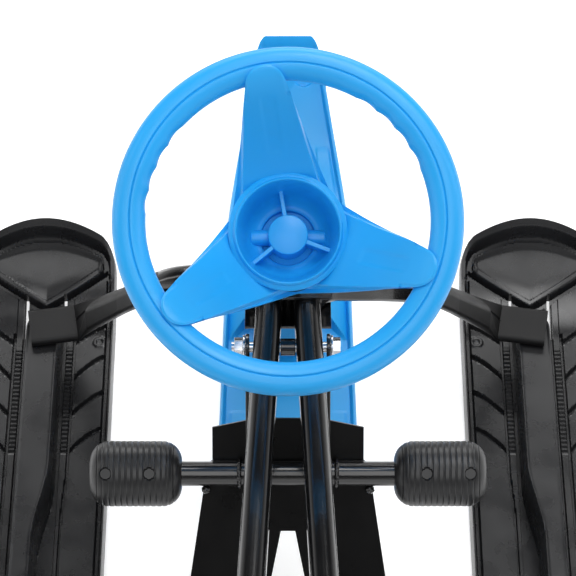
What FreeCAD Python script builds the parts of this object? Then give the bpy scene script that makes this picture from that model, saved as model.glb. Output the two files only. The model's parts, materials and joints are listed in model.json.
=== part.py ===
import FreeCAD, Part
import Sketcher
import math
import os

# Steerable snow sled: twin-tube frame on two side skis, steered front ski, claw brake and seat.
# Frame: +Y forward, +X to the rider's right, +Z up, origin on the ground under the middle of the bounding box.

os.makedirs("parts", exist_ok=True)
doc = FreeCAD.newDocument("SnowSled")
V = FreeCAD.Vector
UP = V(0, 0, 1)
X_AXIS = V(1, 0, 0)

# ---------------------------------------------------------------- driving dimensions
SIZES = [
    ("overall_length", 1100, "front ski tip to side ski heels"),
    ("ski_gap", 416, "side ski centre to side ski centre"),
    ("side_width", 120, "side ski width"),
    ("side_tip", 352, "side ski tip, Y"),
    ("side_rise", 48, "side ski tip rise of the sole"),
    ("side_bend", 262, "Y where the side ski sole starts to rise"),
    ("side_bow", 136, "side ski front edge radius in plan"),
    ("side_corner", 14, "side ski front corner radius in plan"),
    ("heel_corner", 30, "side ski heel corner radius in plan"),
    ("heel_rise", 8, "side ski heel rise of the sole"),
    ("heel_run", 70, "length of the rising heel"),
    ("skin", 5, "ski wall"),
    ("lip_height", 16, "ski edge lip above the sole"),
    ("spine_width", 32, "side ski spine"),
    ("spine_top", 42, "side ski spine top, Z"),
    ("spine_front", 261, "front end of the spine, Y"),
    ("front_tail", 95, "front ski tail, Y"),
    ("front_bend", 430, "Y where the front ski sole starts to rise"),
    ("front_rise", 72, "front ski tip rise of the sole"),
    ("front_tail_half", 59, "front ski half width at the tail"),
    ("front_tip_half", 28, "front ski half width at the tip"),
    ("front_knee_half", 53.5, "front ski half width where its sides start to curve in"),
    ("front_knee", 385, "Y where the front ski sides start to curve in"),
    ("front_lip", 12, "front ski edge lip above the sole"),
    ("head_y", 168.5, "steering axis at rail height, Y"),
    ("rail_z", 232, "rail centre height"),
    ("column_lean", 32, "steering column lean back from vertical, degrees"),
    ("wheel_turn", 9.4, "wheel spokes turned about the column, degrees"),
    ("tube_width", 20, "frame tube across"),
    ("tube_height", 32, "frame tube tall"),
    ("tube_wall", 1.5, "frame tube wall"),
    ("rail_half_front", 13, "rail centre from the middle at the front bend"),
    ("rail_half_rear", 38, "rail centre from the middle at the rear bend"),
    ("front_bend_y", 141, "front bend of the rails, Y"),
    ("rear_bend_y", -395, "rear bend of the rails, Y"),
    ("shoulder_half", 96, "outer bend of the front arms from the middle"),
    ("foot_front_y", 245, "front foot on the side ski, Y"),
    ("foot_rear_y", -455, "rear foot on the side ski, Y"),
    ("foot_width", 36, "pinched tube end across"),
    ("foot_thick", 8, "pinched tube end thickness"),
    ("head_radius", 19, "head tube outer radius"),
    ("head_bore", 16, "head tube bore radius"),
    ("head_length", 70, "head tube length"),
    ("column_radius", 10, "steering column radius"),
    ("column_bore", 8, "steering column inner radius"),
    ("column_low", -160, "column lower end along the axis from rail height"),
    ("column_high", 98, "column upper end along the axis from rail height"),
    ("running_gap", 0.06, "radial running clearance"),
    ("rim_along", 174.9, "wheel rim plane along the axis from rail height"),
    ("rim_radius", 113, "wheel rim centre line radius"),
    ("rim_section", 12, "wheel rim section radius"),
    ("hub_drop", 50, "hub lip below the rim plane"),
    ("hub_radius", 43.5, "hub cup outer radius at the lip"),
    ("hub_depth", 64, "hub cup depth"),
    ("boss_radius", 14.9, "hub boss radius"),
    ("boss_drop", 18, "hub boss top below the lip"),
    ("spoke_root", 54, "spoke width at the hub"),
    ("spoke_end", 29, "spoke width at the rim"),
    ("spoke_thick", 7, "spoke thickness"),
    ("cross_drop", 92, "wheel cross bolt below the rim plane"),
    ("yoke_half", 27, "yoke outer half width"),
    ("yoke_plate", 4, "yoke plate thickness"),
    ("yoke_deep", 36, "yoke plate width fore and aft"),
    ("ski_pivot_along", -203, "ski pivot along the axis from rail height"),
    ("bolt_radius", 4, "M8 bolt radius"),
    ("nut_radius", 7.5, "M8 nut corner radius"),
    ("nut_height", 6.5, "M8 nut height"),
    ("washer_radius", 9, "M8 washer radius"),
    ("washer_thick", 1.5, "M8 washer thickness"),
    ("pivot_y", 78, "brake pivot, Y"),
    ("strap_inner", 29, "brake strap inner face from the middle"),
    ("strap_thick", 3, "brake strap thickness"),
    ("strap_half", 10, "brake strap half width"),
    ("bar_y", 25, "foot bar, Y"),
    ("bar_z", 143, "foot bar, Z"),
    ("bar_radius", 9.5, "foot bar radius"),
    ("peg_inner", 81, "foot peg inner end from the middle"),
    ("peg_outer", 151, "foot peg outer end from the middle"),
    ("peg_radius", 25, "foot peg radius"),
    ("brake_slope", 50, "brake plate slope, degrees"),
    ("plate_thick", 3, "brake plate thickness"),
    ("seat_front", -190, "seat front edge, Y"),
    ("seat_rear", -540, "seat rear edge, Y"),
    ("seat_width", 236, "seat width"),
    ("seat_board", 12, "seat base thickness"),
    ("seat_pad", 36, "seat pad thickness"),
    ("bracket_thick", 3, "seat bracket thickness"),
]
sheet = doc.addObject("Spreadsheet::Sheet", "dims")
for row, (alias, value, note) in enumerate(SIZES, start=1):
    sheet.set(f"A{row}", note)
    sheet.set(f"B{row}", str(value))
    sheet.setAlias(f"B{row}", alias)
doc.recompute()


def size(alias):
    return float(getattr(sheet, alias))


LEAN = size("column_lean")
RIGHT_AND_LEFT = (("right", 1), ("left", -1))


# ---------------------------------------------------------------- helpers
def bind(thing, **expressions):
    for prop, expression in expressions.items():
        thing.setExpression(prop, expression)
    return thing


def place(thing, x="0", y="0", z="0", rotation=None):
    """Puts a thing at a point given by sheet expressions, turned by a fixed rotation."""
    if rotation is not None:
        thing.Placement = FreeCAD.Placement(V(0, 0, 0), rotation)
    for axis, expression in zip("xyz", (x, y, z)):
        thing.setExpression(f"Placement.Base.{axis}", expression)
    return thing


ALONG_X = FreeCAD.Rotation(V(0, 1, 0), 90)
COLUMN_TURN = FreeCAD.Rotation(X_AXIS, LEAN)
WHEEL_TURN = COLUMN_TURN.multiply(FreeCAD.Rotation(UP, size("wheel_turn")))


def on_axis(along, aside="0"):
    """Y and Z expressions of a point on the steering axis, and aside it towards the front."""
    lean = "dims.column_lean"
    y = f"dims.head_y - ({along}) * sin({lean}) + ({aside}) * cos({lean})"
    z = f"dims.rail_z + ({along}) * cos({lean}) + ({aside}) * sin({lean})"
    return y, z


def on_column(thing, along, rotation=COLUMN_TURN):
    y, z = on_axis(along)
    return place(thing, "0", y, z, rotation)


def cylinder(name, radius, height):
    return bind(doc.addObject("Part::Cylinder", name), Radius=radius, Height=height)


def cone(name, low, high, height):
    return bind(doc.addObject("Part::Cone", name), Radius1=low, Radius2=high, Height=height)


def block(name, length, width, height):
    return bind(doc.addObject("Part::Box", name), Length=length, Width=width, Height=height)


def prism(name, radius, height):
    prism_object = bind(doc.addObject("Part::Prism", name), Circumradius=radius, Height=height)
    prism_object.Polygon = 6
    return prism_object


def fuse(name, things):
    fused = doc.addObject("Part::MultiFuse", name)
    fused.Shapes = things
    return fused


def group(name, things):
    """Identical loose pieces that share one node."""
    grouped = doc.addObject("Part::Compound", name)
    grouped.Links = things
    return grouped


def cut(name, base, tools):
    result = doc.addObject("Part::Cut", name)
    result.Base = base
    result.Tool = tools[0] if len(tools) == 1 else fuse(name + "_tools", tools)
    return result


def feature(name, shape):
    made = doc.addObject("Part::Feature", name)
    made.Shape = shape
    return made


def along_x(thing, x, y, z):
    """A cylinder or prism laid along X, starting at x."""
    return place(thing, x, y, z, ALONG_X)


def body(name):
    made = doc.addObject("PartDesign::Body", name)
    return made


def outline(owner, name, role, points):
    """A closed polygon on one of the body's origin planes, each corner held by sheet expressions."""
    sketch = owner.newObject("Sketcher::SketchObject", name)
    plane = next(item for item in owner.Origin.OriginFeatures if item.Role == role)
    sketch.AttachmentSupport = (plane, [""])
    sketch.MapMode = "FlatFace"
    values = [[float(sketch.evalExpression(part)) for part in point] for point in points]
    corners = [V(x, y, 0) for x, y in values]
    count = len(corners)
    for i in range(count):
        sketch.addGeometry(Part.LineSegment(corners[i], corners[(i + 1) % count]), False)
    for i in range(count):
        sketch.addConstraint(Sketcher.Constraint("Coincident", i, 2, (i + 1) % count, 1))
    for i, point in enumerate(points):
        for kind, axis, expression, value in zip(("DistanceX", "DistanceY"), (-2, -1), point, values[i]):
            if abs(value) < 1e-9:
                sketch.addConstraint(Sketcher.Constraint("PointOnObject", i, 1, axis))
                continue
            number = sketch.addConstraint(Sketcher.Constraint(kind, -1, 1, i, 1, value))
            sketch.setExpression(f"Constraints[{number}]", expression)
    return sketch


def pad(owner, name, sketch, length, midplane=False):
    padded = owner.newObject("PartDesign::Pad", name)
    padded.Profile = sketch
    padded.Midplane = midplane
    padded.setExpression("Length", length)
    return padded


NODES = []


def node(thing, label):
    thing.Label = label
    NODES.append(thing)
    return thing


# ---------------------------------------------------------------- shapes made with Part's functions
def rise_radius(run, rise):
    """Radius of the arc that leaves a flat sole tangentially and climbs rise over run."""
    return (run * run + rise * rise) / (2 * rise)


def rising_edge(y_flat, run, rise, lift):
    """Arc in the YZ plane from the flat sole at y_flat to the end, run being negative at a heel."""
    radius = rise_radius(abs(run), rise)
    half = math.asin(abs(run) / radius) / 2
    side = math.copysign(1, run)
    middle = V(0, y_flat + side * radius * math.sin(half), lift + radius * (1 - math.cos(half)))
    return Part.Arc(V(0, y_flat, lift), middle, V(0, y_flat + run, lift + rise)).toShape()


def sole_edges(heel, heel_flat, bend, tip, heel_rise, tip_rise, lift):
    """The sole line seen from the side, lifted by lift."""
    edges = [Part.LineSegment(V(0, heel_flat, lift), V(0, bend, lift)).toShape()]
    edges.append(rising_edge(bend, tip - bend, tip_rise, lift))
    if heel_rise > 0:
        edges.insert(0, rising_edge(heel_flat, heel - heel_flat, heel_rise, lift))
    return edges


def slab(line, low, high, half_width):
    """A slab following the sole line, between two lifts above it."""
    heel, tip, heel_rise, tip_rise = line["heel"], line["tip"], line["heel_rise"], line["tip_rise"]
    args = (heel, line["heel_flat"], line["bend"], tip, heel_rise, tip_rise)
    edges = sole_edges(*args, low) + sole_edges(*args, high)
    edges.append(Part.LineSegment(V(0, tip, low + tip_rise), V(0, tip, high + tip_rise)).toShape())
    edges.append(Part.LineSegment(V(0, heel, low + heel_rise), V(0, heel, high + heel_rise)).toShape())
    face = Part.Face(Part.Wire(Part.sortEdges(edges)[0]))
    face.translate(V(-half_width, 0, 0))
    return face.extrude(V(2 * half_width, 0, 0))


def bowed_plan(inset):
    """Plan outline of a side ski as a tall prism: a bowed front edge and rounded corners."""
    half, bow = size("side_width") / 2 - inset, size("side_bow") - inset
    heel, tip = -size("overall_length") / 2 + inset, size("side_tip") - inset
    front = tip - bow + math.sqrt(bow ** 2 - half ** 2)
    front_left, front_right = V(-half, front, -1), V(half, front, -1)
    heel_left, heel_right = V(-half, heel, -1), V(half, heel, -1)
    sides = [(front_right, heel_right), (heel_right, heel_left), (heel_left, front_left)]
    edges = [Part.Arc(front_left, V(0, tip, -1), front_right).toShape()]
    edges += [Part.LineSegment(first, second).toShape() for first, second in sides]
    panel = Part.Face(Part.Wire(edges)).extrude(V(0, 0, 200))
    for y, corner in ((front, size("side_corner")), (heel, size("heel_corner"))):
        uprights = [edge for edge in panel.Edges if abs(edge.CenterOfMass.z - 99) < 1e-6
                    and abs(edge.CenterOfMass.y - y) < 1e-6]
        panel = panel.makeFillet(corner - inset, uprights)
    return panel


def tapered_plan(inset):
    """Plan outline of the front ski as a tall prism, its curved sides narrowing to the tip."""
    tail_half, tip_half = size("front_tail_half") - inset, size("front_tip_half") - inset
    tail, tip = size("front_tail") + inset, size("overall_length") / 2 - inset
    knee_half, knee = size("front_knee_half") - inset, size("front_knee")
    bulge_half, bulge = knee_half * 0.64 + tip_half * 0.36, (knee + tip) / 2
    edges = []
    for sign in (1, -1):
        tail_corner, knee_corner = V(sign * tail_half, tail, -1), V(sign * knee_half, knee, -1)
        tip_corner, middle = V(sign * tip_half, tip, -1), V(sign * bulge_half, bulge, -1)
        edges.append(Part.LineSegment(tail_corner, knee_corner).toShape())
        edges.append(Part.Arc(knee_corner, middle, tip_corner).toShape())
    for half, y in ((tail_half, tail), (tip_half, tip)):
        edges.append(Part.LineSegment(V(-half, y, -1), V(half, y, -1)).toShape())
    face = Part.Face(Part.Wire(Part.sortEdges(edges)[0]))
    prism_shape = face.extrude(V(0, 0, 200))
    uprights = [edge for edge in prism_shape.Edges if abs(edge.CenterOfMass.z - 99) < 1e-6
                and abs(edge.CenterOfMass.y - knee) > 1]
    return prism_shape.makeFillet(max(9 - inset, 3), uprights)


def moulded_ski(line, outer, inner, half, lip):
    """Sole wall with a raised lip all round: a thick slab with its inside hollowed from above."""
    solid = slab(line, 0, lip, half + 5).common(outer)
    hollow = slab(line, size("skin"), lip + 20, half + 5).common(inner)
    return solid.cut(hollow)


def side_ski(sign):
    half = size("side_width") / 2
    heel, tip = -size("overall_length") / 2, size("side_tip")
    line = {"heel": heel, "heel_flat": heel + size("heel_run"), "bend": size("side_bend"), "tip": tip,
            "heel_rise": size("heel_rise"), "tip_rise": size("side_rise")}
    wall = size("skin")
    shape = moulded_ski(line, bowed_plan(0), bowed_plan(wall), half, size("lip_height"))
    spine, top = size("spine_width"), size("spine_top")
    spine_rear = heel + size("heel_run") + 10
    length = size("spine_front") - spine_rear
    shape = shape.fuse(Part.makeBox(spine, length, top - 1, V(-spine / 2, spine_rear, 1)))
    tunnel = Part.makeBox(spine - 2 * wall, length - 2 * wall, top, V(wall - spine / 2, spine_rear + wall, -wall))
    shape = shape.cut(tunnel)
    for y in (size("foot_front_y"), size("foot_rear_y")):
        shape = shape.cut(Part.makeCylinder(size("bolt_radius"), 60, V(0, y, 0)))
    shape = shape.removeSplitter()
    shape.translate(V(sign * size("ski_gap") / 2, 0, 0))
    return shape


def front_ski():
    line = {"heel": size("front_tail"), "heel_flat": size("front_tail"), "bend": size("front_bend"),
            "tip": size("overall_length") / 2, "heel_rise": 0, "tip_rise": size("front_rise")}
    half = size("front_tail_half")
    shape = moulded_ski(line, tapered_plan(0), tapered_plan(4), half, size("front_lip"))
    pivot_y, pivot_z = axis_point(size("ski_pivot_along"))
    ear = size("yoke_half") - size("yoke_plate") - 0.6
    low = [V(-30, pivot_y - 62, 4), V(30, pivot_y - 62, 4), V(30, pivot_y + 62, 4), V(-30, pivot_y + 62, 4)]
    shoulder = [V(-ear, pivot_y - 30, 26), V(ear, pivot_y - 30, 26), V(ear, pivot_y + 30, 26), V(-ear, pivot_y + 30, 26)]
    base = Part.makeLoft([Part.makePolygon(low + low[:1]), Part.makePolygon(shoulder + shoulder[:1])], True, True)
    tower = Part.makeBox(2 * ear, 30, pivot_z - 20, V(-ear, pivot_y - 15, 20))
    knuckle = Part.makeCylinder(15, 2 * ear, V(-ear, pivot_y, pivot_z), X_AXIS)
    shape = shape.fuse([base, tower, knuckle])
    bore = Part.makeCylinder(7, 2 * ear + 2, V(-ear - 1, pivot_y, pivot_z), X_AXIS)
    return shape.cut(bore).removeSplitter()


def axis_point(along):
    lean = math.radians(LEAN)
    return size("head_y") - along * math.sin(lean), size("rail_z") + along * math.cos(lean)


def bent_wire(points, radii):
    """Straight runs joined by tangent arcs."""
    edges = []
    start = points[0]
    for before, corner, after, radius in zip(points, points[1:], points[2:], radii):
        incoming = (corner - before).normalize()
        outgoing = (after - corner).normalize()
        half_turn = incoming.getAngle(outgoing) / 2
        bisector = (outgoing - incoming).normalize()
        reach = radius * math.tan(half_turn)
        arc_start = corner - incoming * reach
        arc_end = corner + outgoing * reach
        arc_middle = corner + bisector * (radius / math.cos(half_turn) - radius)
        edges.append(Part.LineSegment(start, arc_start).toShape())
        edges.append(Part.Arc(arc_start, arc_middle, arc_end).toShape())
        start = arc_end
    edges.append(Part.LineSegment(start, points[-1]).toShape())
    return Part.Wire(edges)


def oval(centre, heading, width, height, corner):
    """Rounded rectangle in the upright plane square to heading."""
    across = heading.cross(UP).normalize()
    half_w, half_h = width / 2 - corner, height / 2 - corner
    edges = []
    sides = [(1, 1), (-1, 1), (-1, -1), (1, -1)]
    for k, (a, b) in enumerate(sides):
        hub = centre + across * (a * half_w) + UP * (b * half_h)
        first, second = (across * a, UP * b) if k % 2 == 0 else (UP * b, across * a)
        middle = (first + second).normalize() * corner
        edges.append(Part.Arc(hub + first * corner, hub + middle, hub + second * corner).toShape())
        a_next, b_next = sides[(k + 1) % 4]
        next_hub = centre + across * (a_next * half_w) + UP * (b_next * half_h)
        edges.append(Part.LineSegment(hub + second * corner, next_hub + second * corner).toShape())
    return Part.Wire(edges)


def swept(path, section):
    maker = Part.BRepOffsetAPI.MakePipeShell(path)
    maker.setBiNormalMode(UP)
    maker.add(section)
    maker.build()
    maker.makeSolid()
    return maker.shape()


FRONT_PAD_TURN = 52
ARM_SHARE, ARM_WIDTH, ARM_HEIGHT = 0.5, 30, 36


def frame_tube(sign):
    """One tube from the front foot, over the arm, along the rail and down to the rear foot."""
    rail, foot_x = size("rail_z"), size("ski_gap") / 2
    thick = size("foot_thick")
    pad_z = size("spine_top") + thick / 2
    shoulder = V(sign * size("shoulder_half"), size("front_bend_y") - 1, rail)
    front = V(sign * size("rail_half_front"), size("front_bend_y"), rail)
    rear = V(sign * size("rail_half_rear"), size("rear_bend_y"), rail)
    feet = []
    # each foot: the tube's bend, the bolt's Y, the pad behind and beyond the bolt, the flattened neck, the pad's turn
    for corner, foot_y, behind, beyond, neck, turn in (
            (shoulder, size("foot_front_y"), 30, 9, 84, FRONT_PAD_TURN),
            (rear, size("foot_rear_y"), 20, 20, 34, 0)):
        foot = V(sign * foot_x, foot_y, pad_z)
        heading = V(foot.x - corner.x, foot.y - corner.y, 0).normalize()
        pad_heading = FreeCAD.Rotation(UP, -sign * turn).multVec(heading)
        near = foot - pad_heading * behind
        heading = V(near.x - corner.x, near.y - corner.y, 0).normalize()
        slope = (rail - pad_z) / (V(near.x - corner.x, near.y - corner.y, 0).Length)
        neck_end = near - heading * neck + UP * (neck * slope)
        feet.append((foot, heading, near, neck_end, pad_heading, beyond))
    path = bent_wire([feet[0][3], shoulder, front, rear, feet[1][3]], (45, 24, 55))
    width, height, wall = size("tube_width"), size("tube_height"), size("tube_wall")
    start = (shoulder - feet[0][3])
    start.z = 0
    start.normalize()
    corner = width / 2 - 1
    outer = swept(path, oval(feet[0][3], start, width, height, corner))
    inner = swept(path, oval(feet[0][3], start, width - 2 * wall, height - 2 * wall, corner - wall))
    pinch_corner = thick / 2 - 0.5
    for foot, heading, near, neck_end, pad_heading, beyond in feet:
        sections = [oval(neck_end, heading, width, height, corner)]
        if foot is feet[0][0]:
            half_way = near + (neck_end - near) * ARM_SHARE
            sections.append(oval(half_way, heading, ARM_WIDTH, ARM_HEIGHT, corner))
        sections += [oval(near, pad_heading, size("foot_width"), thick, pinch_corner),
                    oval(foot + pad_heading * beyond, pad_heading, size("foot_width"), thick, pinch_corner)]
        outer = outer.fuse(Part.makeLoft(sections, True, True))
    tube = outer.cut(inner)
    # pressing the front end flat leaves a crease along its top
    near, neck_end = feet[0][2], feet[0][3]
    crease_low = near + UP * (thick / 2)
    crease = near + (neck_end - near) * ARM_SHARE + UP * (ARM_HEIGHT / 2) - crease_low
    tube = tube.cut(Part.makeCylinder(1.3, crease.Length, crease_low, crease))
    for foot, *_ in feet:
        depth = thick - 2
        tube = tube.cut(Part.makeCylinder(size("bolt_radius"), depth, foot - UP * (thick / 2)))
    vent_x = sign * size("rail_half_rear") * 0.8
    tube = tube.cut(Part.makeCylinder(3, 14, V(vent_x, -180, rail - height / 2 - 4)))
    head_low_y, head_low_z = axis_point(-60)
    head_axis = V(0, -math.sin(math.radians(LEAN)), math.cos(math.radians(LEAN)))
    tube = tube.cut(Part.makeCylinder(size("head_radius"), 120, V(0, head_low_y, head_low_z), head_axis))
    pivot = V(-60, size("pivot_y"), rail)
    return tube.cut(Part.makeCylinder(size("bolt_radius"), 120, pivot, X_AXIS)).removeSplitter()


# ---------------------------------------------------------------- frame
for side, sign in RIGHT_AND_LEFT:
    node(feature(f"frame_tube_{side}", frame_tube(sign)), f"frame_tube_{side}")
    node(feature(f"side_ski_{side}", side_ski(sign)), f"side_ski_{side}")

head_half = "dims.head_length / 2"
head_outer = on_column(cylinder("head_outer", "dims.head_radius", "dims.head_length"), f"-{head_half}")
head_inner = on_column(cylinder("head_inner", "dims.head_bore", "dims.head_length"), f"-{head_half}")
node(cut("head_tube", head_outer, [head_inner]), "head_tube")

FLANGE = 3
SLEEVE = 16
bushes = []
for end, low_flange, low_sleeve in (("low", f"-{head_half} - {FLANGE}", f"-{head_half}"),
                                    ("high", head_half, f"{head_half} - {SLEEVE}")):
    flange = on_column(cylinder(f"bush_flange_{end}", "dims.head_radius", str(FLANGE)), low_flange)
    sleeve = on_column(cylinder(f"bush_sleeve_{end}", "dims.head_bore", str(SLEEVE)), low_sleeve)
    hole = on_column(cylinder(f"bush_hole_{end}", "dims.column_radius + dims.running_gap", "60"),
                     f"{low_sleeve} - 20")
    bushes.append(cut(f"bush_{end}", fuse(f"bush_solid_{end}", [flange, sleeve]), [hole]))
node(group("head_bushes", bushes), "head_bushes")

# Two flat gussets, over and under the rail bends, carry the head tube in front of them.
GUSSET_THICK, GUSSET_REAR = 3, 58
gussets = []
for level, base, length in (("upper", "dims.rail_z + dims.tube_height / 2", 52),
                            ("lower", f"dims.rail_z - dims.tube_height / 2 - {GUSSET_THICK}", 72)):
    sheet_metal = place(block(f"gusset_sheet_{level}", "66", str(length), str(GUSSET_THICK)),
                        "-33", f"dims.head_y - {GUSSET_REAR}", base)
    clear = on_column(cylinder(f"gusset_clear_{level}", "dims.head_radius", "120"), "-60")
    gussets.append(cut(f"gusset_{level}", sheet_metal, [clear]))
node(group("head_gussets", gussets), "head_gussets")

rail_splay = (size("rail_half_rear") - size("rail_half_front")) / (size("front_bend_y") - size("rear_bend_y"))
rail_half_pivot = size("rail_half_front") + rail_splay * (size("front_bend_y") - size("pivot_y"))
SPACER_PLAY = 0.35
spacer_half = rail_half_pivot - size("tube_width") / 2 - SPACER_PLAY
spacer_outer = along_x(cylinder("spacer_outer", "dims.bolt_radius + 2.5", str(2 * spacer_half)),
                       str(-spacer_half), "dims.pivot_y", "dims.rail_z")
spacer_inner = along_x(cylinder("spacer_inner", "dims.bolt_radius", str(2 * spacer_half)),
                       str(-spacer_half), "dims.pivot_y", "dims.rail_z")
node(cut("rail_spacer", spacer_outer, [spacer_inner]), "rail_spacer")

# The cross bolt carries both brake straps, with a washer outside each and a lock nut on the left.
strap_outer = "dims.strap_inner + dims.strap_thick"
washer_start = f"{strap_outer} + 0.3"
bolt_end = f"({washer_start} + dims.washer_thick)"
pivot_shank = along_x(cylinder("pivot_shank", "dims.bolt_radius", f"2 * {bolt_end} + dims.nut_height + 2"),
                      f"-{bolt_end} - dims.nut_height - 2", "dims.pivot_y", "dims.rail_z")
pivot_head = along_x(prism("pivot_head", "dims.nut_radius", "dims.nut_height - 1"),
                     bolt_end, "dims.pivot_y", "dims.rail_z")
node(fuse("brake_pivot_bolt", [pivot_shank, pivot_head]), "brake_pivot_bolt")
pivot_nut = along_x(prism("pivot_nut_solid", "dims.nut_radius", "dims.nut_height"),
                    f"-{bolt_end} - dims.nut_height", "dims.pivot_y", "dims.rail_z")
pivot_nut_hole = along_x(cylinder("pivot_nut_hole", "dims.bolt_radius", "dims.nut_height"),
                         f"-{bolt_end} - dims.nut_height", "dims.pivot_y", "dims.rail_z")
node(cut("brake_pivot_nut", pivot_nut, [pivot_nut_hole]), "brake_pivot_nut")


def washer(name, start, y, z):
    outer = along_x(cylinder(name + "_outer", "dims.washer_radius", "dims.washer_thick"), start, y, z)
    inner = along_x(cylinder(name + "_inner", "dims.bolt_radius", "dims.washer_thick"), start, y, z)
    return cut(name, outer, [inner])


node(group("brake_pivot_washers", [
    washer("pivot_washer_right", washer_start, "dims.pivot_y", "dims.rail_z"),
    washer("pivot_washer_left", f"-{bolt_end}", "dims.pivot_y", "dims.rail_z")]), "brake_pivot_washers")

# Ski bolts rise through the spine roof into the pinched tube ends.
ski_bolts, ski_washers = [], []
roof = "dims.spine_top - dims.skin"
for side, sign in RIGHT_AND_LEFT:
    for end in ("front", "rear"):
        x, y = f"{sign} * dims.ski_gap / 2", f"dims.foot_{end}_y"
        tag = f"{end}_{side}"
        shank = place(cylinder(f"ski_shank_{tag}", "dims.bolt_radius", "dims.skin + dims.washer_thick + 6"),
                      x, y, f"{roof} - dims.washer_thick")
        cap = place(prism(f"ski_cap_{tag}", "dims.nut_radius", "dims.nut_height - 1"),
                    x, y, f"{roof} - dims.washer_thick - dims.nut_height + 1")
        ski_bolts.append(fuse(f"ski_bolt_{tag}", [shank, cap]))
        disc = place(cylinder(f"ski_disc_{tag}", "dims.washer_radius", "dims.washer_thick"),
                     x, y, f"{roof} - dims.washer_thick")
        eye = place(cylinder(f"ski_eye_{tag}", "dims.bolt_radius", "dims.washer_thick"),
                    x, y, f"{roof} - dims.washer_thick")
        ski_washers.append(cut(f"ski_washer_{tag}", disc, [eye]))
node(group("ski_bolts", ski_bolts), "ski_bolts")
node(group("ski_washers", ski_washers), "ski_washers")

# ---------------------------------------------------------------- seat
bracket_z = "dims.rail_z + dims.tube_height / 2"
board_z = f"{bracket_z} + dims.bracket_thick"
SCREW_X, SCREW_ROWS = 92, (("front", "dims.seat_front - 50"), ("rear", "dims.seat_front - 195"))
brackets, screws, screw_holes = [], [], []
for row_name, y in SCREW_ROWS:
    strip = place(block(f"seat_strip_{row_name}", "220", "26", "dims.bracket_thick"),
                  "-110", f"{y} - 13", bracket_z)
    holes = []
    for side, sign in RIGHT_AND_LEFT:
        tag = f"{row_name}_{side}"
        x = f"{sign * SCREW_X}"
        holes.append(place(cylinder(f"seat_hole_{tag}", "2.5", "dims.bracket_thick"), x, y, bracket_z))
        screw_holes.append(place(cylinder(f"seat_pilot_{tag}", "2.5", "9"), x, y, board_z))
        shank = place(cylinder(f"seat_shank_{tag}", "2.5", "dims.bracket_thick + 9"), x, y, bracket_z)
        cap = place(cylinder(f"seat_cap_{tag}", "5", "3"), x, y, f"{bracket_z} - 3")
        screws.append(fuse(f"seat_screw_{tag}", [shank, cap]))
    brackets.append(cut(f"seat_bracket_{row_name}", strip, holes))
node(group("seat_brackets", brackets), "seat_brackets")
node(group("seat_screws", screws), "seat_screws")


def seat_slab(name, inset, base_z, height, corner):
    """A slab with rounded plan corners, inset from the seat outline."""
    owner = body(name)
    half = f"dims.seat_width / 2 - {inset}"
    front, rear = f"dims.seat_front - {inset}", f"dims.seat_rear + {inset}"
    narrow = f"{half} - 22"
    sketch = outline(owner, name + "_plan", "XY_Plane",
                     [(narrow, front), (half, rear), (f"-({half})", rear), (f"-({narrow})", front)])
    slab_pad = pad(owner, name + "_pad", sketch, height)
    doc.recompute()
    uprights = [f"Edge{i}" for i, edge in enumerate(owner.Shape.Edges, start=1)
                if edge.Vertexes[0].Point.distanceToPoint(edge.Vertexes[-1].Point) > 1
                and abs(edge.tangentAt(edge.FirstParameter).z) > 0.99]
    rounding = owner.newObject("PartDesign::Fillet", name + "_corners")
    rounding.Base = (slab_pad, uprights)
    rounding.Radius = corner
    place(owner, "0", "0", base_z)
    return owner


board = seat_slab("seat_board_solid", 0, board_z, "dims.seat_board", 40)
node(cut("seat_base", board, screw_holes), "seat_base")
node(seat_slab("seat_pad", 4, f"{board_z} + dims.seat_board", "dims.seat_pad", 38), "seat_pad")

# ---------------------------------------------------------------- steering
COLUMN_LENGTH = "dims.column_high - dims.column_low"
tube_solid = on_column(cylinder("column_solid", "dims.column_radius", COLUMN_LENGTH), "dims.column_low")
weld_ring = on_column(cylinder("column_ring", "15", "6"), f"-{head_half} - {FLANGE} - 6.3")
column_hollow = on_column(cylinder("column_hollow", "dims.column_bore", COLUMN_LENGTH), "dims.column_low")
cross_y, cross_z = on_axis("dims.rim_along - dims.cross_drop")
CROSS_ROTATION = WHEEL_TURN.multiply(ALONG_X)


def across_wheel(thing, start):
    """Lays a cylinder along the wheel's own X axis at the cross bolt, from start millimetres."""
    turn = "dims.wheel_turn"
    x = f"({start}) * cos({turn})"
    y = f"{cross_y} + ({start}) * sin({turn}) * cos(dims.column_lean)"
    z = f"{cross_z} + ({start}) * sin({turn}) * sin(dims.column_lean)"
    return place(thing, x, y, z, CROSS_ROTATION)


column_hole = across_wheel(cylinder("column_cross_hole", "3", "60"), "-30")
node(cut("steering_column", fuse("column_welded", [tube_solid, weld_ring]), [column_hollow, column_hole]),
     "steering_column")

collar_low = f"{head_half} + {FLANGE} + 0.3"
collar_outer = on_column(cylinder("collar_outer", "16", "10"), collar_low)
collar_inner = on_column(cylinder("collar_inner", "dims.column_radius", "10"), collar_low)
GRUB_TURN = COLUMN_TURN.multiply(FreeCAD.Rotation(X_AXIS, 90))
grub_y, grub_z = on_axis(f"{collar_low} + 5")
grub_hole = place(cylinder("grub_hole", "2.5", "30"), "0", grub_y, grub_z, GRUB_TURN)
node(cut("column_collar", collar_outer, [collar_inner, grub_hole]), "column_collar")
grub_y, grub_z = on_axis(f"{collar_low} + 5", "-dims.column_radius")
node(place(cylinder("collar_screw", "2.5", "5.5"), "0", grub_y, grub_z, GRUB_TURN), "collar_screw")

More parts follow.
